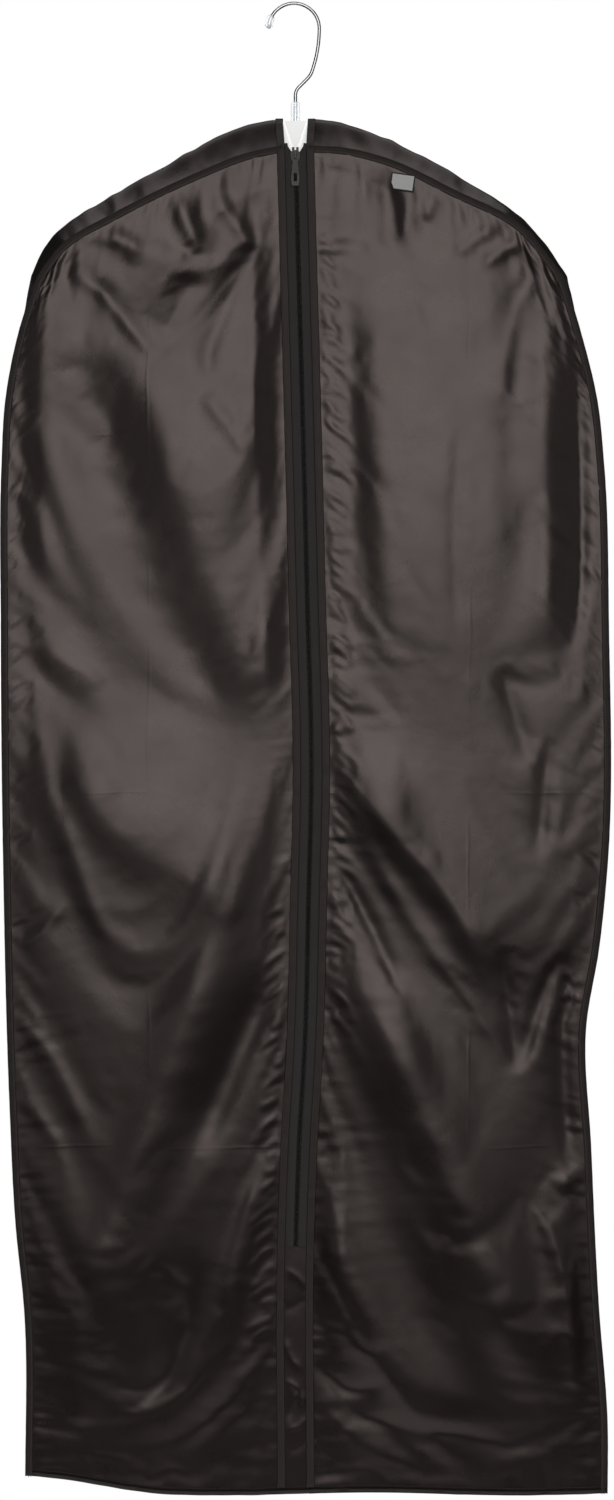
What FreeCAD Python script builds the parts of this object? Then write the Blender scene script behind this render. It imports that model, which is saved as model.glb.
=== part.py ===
"""Gusseted garment bag on a plastic hanger with a swivel hook.

Frame: X to the right as seen from the front, +Y to the back, +Z up. The origin is the point on the
inside of the hook's crown where a rail carries it. Millimetres. "Drop" means distance below the origin.
"""

import FreeCAD, Part
import Sketcher
import math
import os

from FreeCAD import Placement, Rotation, Vector

doc = FreeCAD.newDocument("garment_bag")

# ---------------------------------------------------------------- driving dimensions

SIZES = {
    # cloth
    "cloth": 0.8,
    "tape_cloth": 0.6,
    "seam_gap": 0.1,
    # outline of a panel, half of it: across from the zip and down from the origin
    "neck_half": 13,
    "neck_drop": 146,
    "shoulder_start": 70,
    "shoulder_start_drop": 153,
    "shoulder_end": 222,
    "shoulder_end_drop": 228,
    "shoulder_radius": 80.6,
    "point_half": 262,
    "point_drop": 272.7,
    "flare_radius": 713,
    "side_half": 305,
    "side_drop": 516.7,
    "bottom_drop": 1489,
    # depth: half the distance between the panels
    "half_depth_top": 24,
    "half_depth_bottom": 3.6,
    # gusset: how far its middle stands out past the seams, or folds in where negative
    "rise_neck": 31,
    "rise_start": 24,
    "rise_shoulder": 16,
    "rise_end": 10,
    "rise_point": 4,
    "rise_side": -32,
    "rise_bottom": -37,
    # bindings
    "binding": 0.8,
    "seam_binding_width": 6,
    "placket_binding_inner": 10.5,
    "placket_binding_outer": 18.5,
    "neck_binding_width": 6.5,
    "bottom_binding_height": 10,
    # zip
    "zip_top_drop": 150.5,
    "zip_end_drop": 1246,
    "tape_outer": 17,
    "coil_inner": 0.6,
    "coil_outer": 2.6,
    "coil_front": 1.6,
    "slider_drop": 150.2,
    "slider_length": 11,
    "slider_half": 4.6,
    "slider_plate": 1.3,
    "run_clearance": 0.3,
    "tab_axis_below_top": 4.6,
    "tab_length": 31,
    "tab_half": 4.1,
    # label
    "label_across": 107.5,
    "label_drop": 173.5,
    "label_width": 24,
    "label_height": 17,
    "label_tilt": 8,
    # hook
    "wire_radius": 1.75,
    "crown_radius": 25.25,
    "crown_across": -1.4,
    "cap_radius": 4.2,
    "cap_length": 14,
    "stem_end_drop": 128,
    # hanger
    "hanger_top_drop": 117,
    "arm_half_depth": 4.5,
    "hanger_half": 12.3,
    "hanger_tip": 214,
    "neck_wing_half": 19.7,
    "neck_side_drop": 126,
    "neck_wing_top_drop": 128,
    "neck_wing_low_drop": 138,
    "neck_point_drop": 154,
    "neck_plate_half_depth": 4,
    "boss_half": 11,
    "boss_low_half": 2,
    "boss_low_drop": 145,
    "boss_front": 5.5,
    "boss_wall": 1.4,
    "collar_radius": 4.5,
    "collar_height": 19.5,
    "swivel_clearance": 0.3,
    "pocket_top_drop": 124,
    "pocket_height": 7,
    "retainer_radius": 3.7,
    "retainer_height": 3,
}

sheet = doc.addObject("Spreadsheet::Sheet", "sizes")
for row, (alias, number) in enumerate(SIZES.items(), start=1):
    sheet.set(f"A{row}", alias)
    sheet.set(f"B{row}", str(number))
    sheet.setAlias(f"B{row}", alias)
doc.recompute()


def size(alias):
    """A driving dimension, read from the sheet."""
    return float(sheet.get(alias))


# ---------------------------------------------------------------- the bag's shape in numbers

FRONT, BACK = -1, 1
LEFT, RIGHT = -1, 1
SIDE_NAMES = {LEFT: "left", RIGHT: "right"}
FACE_NAMES = {FRONT: "front", BACK: "back"}

# The panels lean together from the neck seam down to the bottom seam.
LEAN = math.atan2(
    size("half_depth_top") - size("half_depth_bottom"),
    size("bottom_drop") - size("neck_drop"),
)


def half_depth(drop):
    """Half the distance between the panels' inner faces at this drop."""
    return size("half_depth_top") - (drop - size("neck_drop")) * math.tan(LEAN)


def panel_placement(face):
    """Carries a piece drawn upright in the plane y = 0 into the front or back panel's leaning plane.

    The pieces are drawn with the outside of the bag towards -Y, and the back is the front turned round.
    """
    down = -size("neck_drop")
    lean = Placement(
        Vector(0, -size("half_depth_top"), 0),
        Rotation(Vector(1, 0, 0), math.degrees(LEAN)),
        Vector(0, 0, down),
    )
    if face == FRONT:
        return lean
    turn = Placement(Vector(0, 0, 0), Rotation(Vector(0, 0, 1), 180))
    return turn.multiply(lean)


def arc_stations(start, end, radius, count):
    """Points and headings along a convex arc from start to end, both (across, drop)."""
    chord = math.dist(start, end)
    direction = math.atan2(end[1] - start[1], end[0] - start[0])
    half_turn = math.asin(chord / 2 / radius)
    heading = direction - half_turn
    stations = []
    for step in range(1, count + 1):
        now = heading + 2 * half_turn * step / count
        across = start[0] + radius * (math.sin(now) - math.sin(heading))
        drop = start[1] - radius * (math.cos(now) - math.cos(heading))
        stations.append((across, drop, now))
    return stations


def seam_stations():
    """(across, drop, heading, rise) along one half of the seam, from the neck to the bottom.

    The heading is the seam's angle below the horizontal, and rise is how far the gusset's middle
    stands out past the seam there.
    """
    neck = (size("neck_half"), size("neck_drop"))
    start = (size("shoulder_start"), size("shoulder_start_drop"))
    end = (size("shoulder_end"), size("shoulder_end_drop"))
    point = (size("point_half"), size("point_drop"))
    side = (size("side_half"), size("side_drop"))
    slope = math.atan2(end[1] - start[1], end[0] - start[0])
    middle = ((start[0] + end[0]) / 2, (start[1] + end[1]) / 2)
    stations = [
        (*neck, 0.0, size("rise_neck")),
        (*start, slope / 2, size("rise_start")),
        (*middle, slope, size("rise_shoulder")),
        (*end, slope, size("rise_end")),
    ]
    shoulder = arc_stations(end, point, size("shoulder_radius"), 4)
    for number, station in enumerate(shoulder, start=1):
        part = number / len(shoulder)
        stations.append((*station, size("rise_end") + part * (size("rise_point") - size("rise_end"))))
    flare = arc_stations(point, side, size("flare_radius"), 5)
    for number, station in enumerate(flare, start=1):
        part = number / len(flare)
        stations.append((*station, size("rise_point") + part * (size("rise_side") - size("rise_point"))))
    low = size("bottom_drop") - size("bottom_binding_height") - size("seam_gap")
    for part in (0.33, 0.67, 1.0):
        drop = side[1] + part * (low - side[1])
        rise = size("rise_side") + part * (size("rise_bottom") - size("rise_side"))
        stations.append((side[0], drop, math.pi / 2, rise))
    return stations


# ---------------------------------------------------------------- helpers for drawing

NODES = []


def node(item, name, placement=None):
    """Names a finished sub-part, places it and puts it on the list of nodes."""
    item.Label = name
    if placement is not None:
        item.Placement = placement
    NODES.append(item)
    return item


def bind(item, prop, expression):
    """Ties a property to the sheet. Aliases stand in the expression after a dollar sign."""
    item.setExpression(prop, expression.replace("$", "sizes."))


def origin_plane(body, role):
    """One of a body's own origin planes."""
    return next(item for item in body.Origin.OriginFeatures if item.Role == role)


def new_body(name):
    """An empty PartDesign body."""
    return doc.addObject("PartDesign::Body", name + "_body")


def new_sketch(body, name, role="XZ_Plane"):
    """A sketch on one of the body's origin planes."""
    drawing = body.newObject("Sketcher::SketchObject", name)
    drawing.AttachmentSupport = (origin_plane(body, role), [""])
    drawing.MapMode = "FlatFace"
    return drawing


def value_of(expression):
    """The number an expression gives now, for a sketch's first drawing."""
    return float(sheet.evalExpression(expression.replace("$", "sizes.")))


def draw_outline(drawing, corners):
    """A closed outline in a sketch, every corner tied to the sheet.

    A corner is (across, up) or (across, up, radius), as expressions: with a radius, the edge that
    leaves the corner is an arc of that radius which bulges to the left of its direction.
    """
    points = [Vector(value_of(c[0]), value_of(c[1]), 0) for c in corners]
    count = len(points)
    for number, corner in enumerate(corners):
        here, there = points[number], points[(number + 1) % count]
        if len(corner) == 3:
            drawing.addGeometry(left_arc(here, there, value_of(corner[2])), False)
        else:
            drawing.addGeometry(Part.LineSegment(here, there), False)
    reversed_edges = [len(c) == 3 for c in corners]
    for number in range(count):
        after = (number + 1) % count
        end = 1 if reversed_edges[number] else 2
        start = 2 if reversed_edges[after] else 1
        drawing.addConstraint(Sketcher.Constraint("Coincident", number, end, after, start))
    for number, corner in enumerate(corners):
        start = 2 if reversed_edges[number] else 1
        for kind, place in (("DistanceX", 0), ("DistanceY", 1)):
            drawing.addConstraint(
                Sketcher.Constraint(kind, number, start, value_of(corner[place]))
            )
            drawing.renameConstraint(drawing.ConstraintCount - 1, f"{kind}_{number}")
            bind(drawing, f"Constraints.{kind}_{number}", corner[place])
        if len(corner) == 3:
            drawing.addConstraint(Sketcher.Constraint("Radius", number, value_of(corner[2])))
            drawing.renameConstraint(drawing.ConstraintCount - 1, f"Radius_{number}")
            bind(drawing, f"Constraints.Radius_{number}", corner[2])


def left_arc(here, there, radius):
    """An arc from here to there that bulges to the left of the way, drawn clockwise."""
    chord = there - here
    middle = (here + there) * 0.5
    left = Vector(-chord.y, chord.x, 0).normalize()
    centre = middle - left * math.sqrt(radius**2 - (chord.Length / 2) ** 2)
    circle = Part.Circle(centre, Vector(0, 0, 1), radius)
    first = math.atan2(there.y - centre.y, there.x - centre.x)
    last = math.atan2(here.y - centre.y, here.x - centre.x)
    return Part.ArcOfCircle(circle, first, last)


def pad(body, drawing, name, length, inwards=False):
    """A pad of a sketch. On an XZ plane it grows towards -Y, or towards +Y when inwards."""
    feature = body.newObject("PartDesign::Pad", name)
    feature.Profile = drawing
    bind(feature, "Length", length)
    feature.Reversed = inwards
    return feature


def flat_piece(name, corners, thickness, back, placement):
    """A flat piece of a panel: an outline padded outwards from a plane that lies `back` behind y = 0."""
    body = new_body(name)
    drawing = new_sketch(body, name + "_outline")
    draw_outline(drawing, corners)
    doc.recompute()
    pad(body, drawing, name + "_pad", thickness)
    return node(body, name, placement.multiply(Placement(Vector(0, back, 0), Rotation())))


def strip_corners(hand, inner, outer, top, bottom):
    """The corners of an upright strip on one side of the zip, drawn clockwise."""
    near, far = (inner, outer) if hand == RIGHT else (f"-({outer})", f"-({inner})")
    return [(near, top), (far, top), (far, bottom), (near, bottom)]


# ---------------------------------------------------------------- panels

BOTTOM = "-$bottom_drop"
ABOVE_BOTTOM_BINDING = "-$bottom_drop + $bottom_binding_height + $seam_gap"


def right_half(bottom):
    """The seam's corners from the neck to the bottom on the right."""
    return [
        ("$neck_half", "-$neck_drop"),
        ("$shoulder_start", "-$shoulder_start_drop"),
        ("$shoulder_end", "-$shoulder_end_drop", "$shoulder_radius"),
        ("$point_half", "-$point_drop", "$flare_radius"),
        ("$side_half", "-$side_drop"),
        ("$side_half", bottom),
    ]


def left_half(bottom):
    """The seam's corners from the bottom to the neck on the left."""
    return [
        ("-$side_half", bottom),
        ("-$side_half", "-$side_drop", "$flare_radius"),
        ("-$point_half", "-$point_drop", "$shoulder_radius"),
        ("-$shoulder_end", "-$shoulder_end_drop"),
        ("-$shoulder_start", "-$shoulder_start_drop"),
        ("-$neck_half", "-$neck_drop"),
    ]


def make_panels():
    """Two front panels with the zip between them, and one back panel."""
    right = right_half(BOTTOM) + [("$neck_half", BOTTOM)]
    left = left_half(BOTTOM) + [("-$neck_half", BOTTOM)]
    flat_piece("front_panel_right", right, "$cloth", 0, panel_placement(FRONT))
    flat_piece("front_panel_left", left, "$cloth", 0, panel_placement(FRONT))
    whole = right_half(BOTTOM) + left_half(BOTTOM)
    flat_piece("back_panel", whole, "$cloth", 0, panel_placement(BACK))


# ---------------------------------------------------------------- gussets

def gusset_section(station, hand):
    """The gusset's folded section across its length, square to the seam, as a closed wire."""
    across, drop, heading, rise = station
    depth = half_depth(drop) - size("seam_gap")
    thick = size("cloth") * math.hypot(depth, rise) / depth
    corners = [
        (0, -depth),
        (rise, 0),
        (0, depth),
        (-thick, depth),
        (rise - thick, 0),
        (-thick, -depth),
    ]
    points = [
        Vector(hand * (across + out * math.sin(heading)), y, -drop + out * math.cos(heading))
        for out, y in corners
    ]
    return Part.makePolygon(points + points[:1])


def make_gussets():
    """One folded strip each side, ridged over the hanger and tucked in down the side."""
    for hand in (LEFT, RIGHT):
        gusset = doc.addObject("Part::Feature", f"gusset_{SIDE_NAMES[hand]}_strip")
        sections = [gusset_section(station, hand) for station in seam_stations()]
        gusset.Shape = Part.makeLoft(sections, True, True)
        node(gusset, f"gusset_{SIDE_NAMES[hand]}")


# ---------------------------------------------------------------- bindings

def seam_edges(inset, hand, from_across):
    """The seam moved inwards by inset, from that distance across to just above the bottom binding."""
    neck = (size("neck_half"), size("neck_drop"))
    start = (size("shoulder_start"), size("shoulder_start_drop"))
    end = (size("shoulder_end"), size("shoulder_end_drop"))
    point = (size("point_half"), size("point_drop"))
    side = (size("side_half"), size("side_drop"))
    low = size("bottom_drop") - size("bottom_binding_height") - size("seam_gap")
    first = math.atan2(start[1] - neck[1], start[0] - neck[0])
    slope = math.atan2(end[1] - start[1], end[0] - start[0])
    corner_inset = inset / math.cos((slope - first) / 2)

    def moved(place, heading, distance):
        return Vector(
            hand * (place[0] - distance * math.sin(heading)),
            0,
            -place[1] - distance * math.cos(heading),
        )

    def arc(begin, finish, radius):
        middle, last = arc_stations(begin, finish, radius, 2)
        return moved(middle[:2], middle[2], inset), moved(last[:2], last[2], inset)

    near = (from_across, neck[1] + (from_across - neck[0]) * math.tan(first))
    points = [
        moved(near, 0, inset / math.cos(first)),
        moved(start, (first + slope) / 2, corner_inset),
        moved(end, slope, inset),
    ]
    shoulder_middle, shoulder_last = arc(end, point, size("shoulder_radius"))
    flare_middle, flare_last = arc(point, side, size("flare_radius"))
    bottom = Vector(hand * (size("side_half") - inset), 0, -low)
    return [
        Part.LineSegment(points[0], points[1]).toShape(),
        Part.LineSegment(points[1], points[2]).toShape(),
        Part.Arc(points[2], shoulder_middle, shoulder_last).toShape(),
        Part.Arc(shoulder_last, flare_middle, flare_last).toShape(),
        Part.LineSegment(flare_last, bottom).toShape(),
    ]


def make_seam_bindings():
    """The bound edge that joins a gusset to a panel, front and back, left and right."""
    for face in (FRONT, BACK):
        for hand in (LEFT, RIGHT):
            drawn_hand = hand if face == FRONT else -hand
            beside_placket = size("placket_binding_outer") + size("seam_gap")
            across = beside_placket if face == FRONT else size("neck_half")
            outer = seam_edges(0, drawn_hand, across)
            inner = seam_edges(size("seam_binding_width"), drawn_hand, across)
            ends = [
                Part.LineSegment(outer[place].Vertexes[place].Point, inner[place].Vertexes[place].Point)
                for place in (0, -1)
            ]
            wire = Part.Wire(Part.__sortEdges__(outer + inner + [end.toShape() for end in ends]))
            name = f"{FACE_NAMES[face]}_seam_binding_{SIDE_NAMES[hand]}"
            binding = doc.addObject("Part::Feature", name + "_tape")
            outwards = Vector(0, -size("binding"), 0)
            binding.Shape = Part.Face(wire).extrude(outwards)
            in_front = Placement(Vector(0, -size("cloth"), 0), Rotation())
            node(binding, name, panel_placement(face).multiply(in_front))


def make_placket_bindings():
    """The bound edge of each front panel beside the zip, and its end over the gusset at the neck."""
    for hand in (LEFT, RIGHT):
        side = SIDE_NAMES[hand]
        corners = strip_corners(
            hand,
            "$placket_binding_inner",
            "$placket_binding_outer",
            "-$neck_drop",
            ABOVE_BOTTOM_BINDING,
        )
        flat_piece(
            f"placket_binding_{side}",
            corners,
            "$binding",
            -size("cloth"),
            panel_placement(FRONT),
        )
        body = new_body(f"neck_binding_{side}")
        drawing = new_sketch(body, f"neck_binding_{side}_outline", "YZ_Plane")
        reach = "$half_depth_top - $seam_gap"
        under = "-$neck_drop + 2 * $seam_gap"
        over = f"{under} + 1.7 * $binding"
        draw_outline(
            drawing,
            [
                (f"-({reach})", under),
                (f"-({reach})", over),
                ("0", f"{over} + $rise_neck"),
                (reach, over),
                (reach, under),
                ("0", f"{under} + $rise_neck"),
            ],
        )
        doc.recompute()
        width = size("neck_binding_width")
        pad(body, drawing, f"neck_binding_{side}_pad", "$neck_binding_width")
        start = size("neck_half") if hand == RIGHT else -size("neck_half") - width
        node(body, f"neck_binding_{side}", Placement(Vector(start, 0, 0), Rotation()))


def make_bottom_binding():
    """The tape folded round the bottom edges of both panels."""
    inner = "$half_depth_bottom + $cloth + 3 * $seam_gap"
    tape = doc.addObject("Part::Box", "bottom_binding_outside")
    bind(tape, "Length", "2 * $side_half")
    bind(tape, "Width", f"2 * ({inner} + $binding)")
    bind(tape, "Height", "$bottom_binding_height + $binding")
    bind(tape, "Placement.Base.x", "-$side_half")
    bind(tape, "Placement.Base.y", f"-({inner} + $binding)")
    bind(tape, "Placement.Base.z", "-$bottom_drop - $binding")
    groove = doc.addObject("Part::Box", "bottom_binding_groove")
    bind(groove, "Length", "2 * $side_half + 2")
    bind(groove, "Width", f"2 * ({inner})")
    bind(groove, "Height", "$bottom_binding_height + 1")
    bind(groove, "Placement.Base.x", "-$side_half - 1")
    bind(groove, "Placement.Base.y", f"-({inner})")
    bind(groove, "Placement.Base.z", "-$bottom_drop")
    binding = doc.addObject("Part::Cut", "bottom_binding_cut")
    binding.Base = tape
    binding.Tool = groove
    node(binding, "bottom_binding")


# ---------------------------------------------------------------- zip

def make_zip():
    """Tapes, coils, stops and the closed strip below the zip."""
    front = panel_placement(FRONT)
    for hand in (LEFT, RIGHT):
        side = SIDE_NAMES[hand]
        tape = strip_corners(hand, "$coil_outer", "$tape_outer", "-$zip_top_drop", "-$zip_end_drop")
        flat_piece(f"zip_tape_{side}", tape, "$tape_cloth", size("tape_cloth"), front)
        coil = strip_corners(
            hand,
            "$coil_inner",
            "$coil_outer",
            "-$zip_top_drop - 1.5",
            "-$zip_end_drop + 6",
        )
        depth = "$coil_front + $tape_cloth"
        flat_piece(f"zip_coil_{side}", coil, depth, size("tape_cloth"), front)
        stop = strip_corners(
            hand,
            "$coil_inner + 0.2",
            "$coil_outer + 0.8",
            "-$zip_top_drop + 3.4",
            "-$zip_top_drop + 0.8",
        )
        flat_piece(f"zip_top_stop_{side}", stop, "2.2", 1.2, front)
    bottom_stop = [
        ("-$coil_outer", "-$zip_end_drop + 5.8"),
        ("$coil_outer", "-$zip_end_drop + 5.8"),
        ("$coil_outer", "-$zip_end_drop + 1.8"),
        ("-$coil_outer", "-$zip_end_drop + 1.8"),
    ]
    flat_piece("zip_bottom_stop", bottom_stop, "$coil_front + $tape_cloth", size("tape_cloth"), front)
    infill = [
        ("-$tape_outer", "-$zip_end_drop - $seam_gap"),
        ("$tape_outer", "-$zip_end_drop - $seam_gap"),
        ("$tape_outer", ABOVE_BOTTOM_BINDING),
        ("-$tape_outer", ABOVE_BOTTOM_BINDING),
    ]
    flat_piece("lower_infill_strip", infill, "$tape_cloth", size("tape_cloth"), front)


def slider_plate(name, front_face, thickness):
    """One plate of the slider, wide at the top and narrower at the bottom, with rounded corners."""
    body = new_body(name)
    drawing = new_sketch(body, name + "_outline")
    corners = [
        ("-0.6 * $slider_half", "0"),
        ("0.6 * $slider_half", "0"),
        ("$slider_half", "-0.25 * $slider_length"),
        ("$slider_half", "-0.6 * $slider_length"),
        ("0.72 * $slider_half", "-$slider_length"),
        ("-0.72 * $slider_half", "-$slider_length"),
        ("-$slider_half", "-0.6 * $slider_length"),
        ("-$slider_half", "-0.25 * $slider_length"),
    ]
    draw_outline(drawing, corners)
    doc.recompute()
    feature = pad(body, drawing, name + "_pad", thickness)
    doc.recompute()
    upright = [
        f"Edge{number}"
        for number, edge in enumerate(feature.Shape.Edges, start=1)
        if abs(edge.tangentAt(edge.FirstParameter).y) > 0.99
    ]
    fillet = body.newObject("PartDesign::Fillet", name + "_corners")
    fillet.Base = (feature, upright)
    fillet.Radius = 0.8
    body.Placement = Placement(Vector(0, front_face + size("slider_plate"), 0), Rotation())
    return body


def box(name, low, high):
    """A box between two corners."""
    item = doc.addObject("Part::Box", name)
    item.Length, item.Width, item.Height = (high[k] - low[k] for k in range(3))
    item.Placement.Base = Vector(*low)
    return item


def fused(name, items):
    """The union of several solids."""
    union = doc.addObject("Part::MultiFuse", name)
    union.Shapes = items
    union.Refine = True
    return union


BRIDGE_HALF = 0.8
BRIDGE_RISE = 3.2
BRIDGE_HALF_LENGTH = 3.9
BRIDGE_THICK = 0.9
BAR_RADIUS = 0.6


def make_slider():
    """The slider: two plates joined by a post that runs between the coils, with a bridge for the pull."""
    clear = size("run_clearance")
    plate = size("slider_plate")
    length = size("slider_length")
    half = size("slider_half")
    front_face = -size("coil_front") - clear - plate
    back_face = size("tape_cloth") + clear
    axis = -size("tab_axis_below_top")
    front = slider_plate("slider_front_plate", front_face, "$slider_plate")
    back = slider_plate("slider_back_plate", back_face, "$slider_plate")
    post_half = size("coil_inner") - clear
    post = box(
        "slider_post",
        (-post_half, front_face + plate - 0.2, -3.5),
        (post_half, back_face + 0.2, -0.3),
    )
    flanges = [
        box(
            f"slider_flange_{SIDE_NAMES[hand]}",
            (min(hand * (half - 1.0), hand * (half - 0.1)), front_face + plate - 0.2, -0.6 * length),
            (max(hand * (half - 1.0), hand * (half - 0.1)), -clear, -0.28 * length),
        )
        for hand in (LEFT, RIGHT)
    ]
    arch = box(
        "slider_bridge_block",
        (-BRIDGE_HALF, front_face - BRIDGE_RISE, axis - BRIDGE_HALF_LENGTH),
        (BRIDGE_HALF, front_face + 0.2, axis + BRIDGE_HALF_LENGTH),
    )
    gap = box(
        "slider_bridge_gap",
        (-2, front_face - BRIDGE_RISE + BRIDGE_THICK, axis - BRIDGE_HALF_LENGTH + BRIDGE_THICK),
        (2, front_face, axis + BRIDGE_HALF_LENGTH - BRIDGE_THICK),
    )
    bridge = doc.addObject("Part::Cut", "slider_bridge")
    bridge.Base = arch
    bridge.Tool = gap
    slider = fused("slider_whole", [front, back, post, *flanges, bridge])
    drop = Placement(Vector(0, 0, -size("slider_drop")), Rotation())
    node(slider, "zip_slider", panel_placement(FRONT).multiply(drop))


def tab_centre():
    """The pull tab's hinge line in the slider's own drawing: how far in front, and how high."""
    front_face = -size("coil_front") - size("run_clearance") - size("slider_plate")
    return front_face - (BRIDGE_RISE - BRIDGE_THICK) / 2, -size("tab_axis_below_top")


def make_pull_tab():
    """The pull tab, drawn about its hinge line: a cross bar under the bridge, two arms and a plate."""
    thick = 1.1
    arm_inner = BRIDGE_HALF + 0.5
    half = size("tab_half")
    length = size("tab_length")
    start = BRIDGE_HALF_LENGTH + 1.2
    bar = doc.addObject("Part::Cylinder", "tab_bar")
    bar.Radius = BAR_RADIUS
    bar.Height = 2 * (arm_inner + 1)
    bar.Placement = Placement(Vector(-arm_inner - 1, 0, 0), Rotation(Vector(0, 1, 0), 90))
    arms = [
        box(
            f"tab_arm_{SIDE_NAMES[hand]}",
            (min(hand * arm_inner, hand * (arm_inner + 1.1)), -thick / 2, -start - 0.5),
            (max(hand * arm_inner, hand * (arm_inner + 1.1)), thick / 2, 0.6),
        )
        for hand in (LEFT, RIGHT)
    ]
    body = new_body("tab_plate")
    drawing = new_sketch(body, "tab_plate_outline")
    corners = [
        ("-0.6 * $tab_half", f"-{start}"),
        ("0.6 * $tab_half", f"-{start}"),
        ("$tab_half", "-0.8 * $tab_length"),
        ("0.8 * $tab_half", "-$tab_length"),
        ("-0.8 * $tab_half", "-$tab_length"),
        ("-$tab_half", "-0.8 * $tab_length"),
    ]
    draw_outline(drawing, corners)
    doc.recompute()
    feature = pad(body, drawing, "tab_plate_pad", f"{thick}")
    doc.recompute()
    rim = [
        f"Edge{number}"
        for number, edge in enumerate(feature.Shape.Edges, start=1)
        if abs(edge.tangentAt(edge.FirstParameter).y) > 0.99
    ]
    fillet = body.newObject("PartDesign::Fillet", "tab_plate_corners")
    fillet.Base = (feature, rim)
    fillet.Radius = 0.9
    body.Placement = Placement(Vector(0, thick / 2, 0), Rotation())
    slot = box(
        "tab_slot",
        (-0.4 * half, -2, -0.86 * length),
        (0.4 * half, 2, -0.6 * length),
    )
    plate = doc.addObject("Part::Cut", "tab_plate_slotted")
    plate.Base = body
    plate.Tool = slot
    tab = fused("tab_whole", [bar, *arms, plate])
    ahead, up = tab_centre()
    there = Placement(Vector(0, ahead, up - size("slider_drop")), Rotation())
    node(tab, "zip_pull_tab", panel_placement(FRONT).multiply(there))


def make_label():
    """The blank woven label sewn into the right front seam."""
    corners = [
        ("-0.5 * $label_width", "0"),
        ("0.5 * $label_width", "0"),
        ("0.5 * $label_width", "-$label_height"),
        ("-0.5 * $label_width", "-$label_height"),
    ]
    place = Placement(
        Vector(size("label_across"), -size("cloth") - size("binding") - size("seam_gap"), -size("label_drop")),
        Rotation(Vector(0, 1, 0), size("label_tilt")),
    )
    flat_piece("woven_label", corners, "$tape_cloth", 0, panel_placement(FRONT).multiply(place))


# ---------------------------------------------------------------- hanger and hook

class WirePath:
    """A path in the plane y = 0 made of straight runs and arcs, each starting along the last one's end."""

    def __init__(self, start, heading):
        self.place = start
        self.heading = heading
        self.edges = []

    def ahead(self, angle):
        return Vector(math.cos(angle), 0, math.sin(angle))

    def run(self, length):
        """A straight run."""
        finish = self.place + self.ahead(self.heading) * length
        self.edges.append(Part.LineSegment(self.place, finish).toShape())
        self.place = finish

    def turn(self, radius, degrees):
        """An arc: positive degrees turn to the right of the way."""
        side = -1 if degrees > 0 else 1
        centre = self.place + self.ahead(self.heading + side * math.pi / 2) * radius
        after = self.heading - math.radians(degrees)
        halfway = self.heading - math.radians(degrees) / 2
        middle = centre - self.ahead(halfway + side * math.pi / 2) * radius
        finish = centre - self.ahead(after + side * math.pi / 2) * radius
        self.edges.append(Part.Arc(self.place, middle, finish).toShape())
        self.place = finish
        self.heading = after


CROWN_START_DEGREES = 177
SHANK_RADIUS, SHANK_TURN = 131, 19
ELBOW_RADIUS, ELBOW_TURN = 20, 26
STEM_BEND_RADIUS = 12
CAP_FROM_TIP = 5.5


def crown_point(degrees):
    """A point on the crown's centreline."""
    radius = size("crown_radius")
    angle = math.radians(degrees)
    return Vector(
        size("crown_across") + radius * math.cos(angle),
        0,
        size("wire_radius") - radius + radius * math.sin(angle),
    )


def hook_path():
    """The hook's centreline from its tip over the crown to the end of the stem on the swivel axis."""
    path = WirePath(crown_point(CROWN_START_DEGREES), math.radians(CROWN_START_DEGREES - 90))
    path.turn(size("crown_radius"), CROWN_START_DEGREES)
    path.turn(SHANK_RADIUS, SHANK_TURN)
    path.turn(ELBOW_RADIUS, ELBOW_TURN)
    slant = SHANK_TURN + ELBOW_TURN
    bend_across = STEM_BEND_RADIUS * (1 - math.cos(math.radians(slant)))
    path.run((path.place.x - bend_across) / math.sin(math.radians(slant)))
    path.turn(STEM_BEND_RADIUS, -slant)
    path.run(path.place.z + size("stem_end_drop"))
    return Part.Wire(path.edges)


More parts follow.
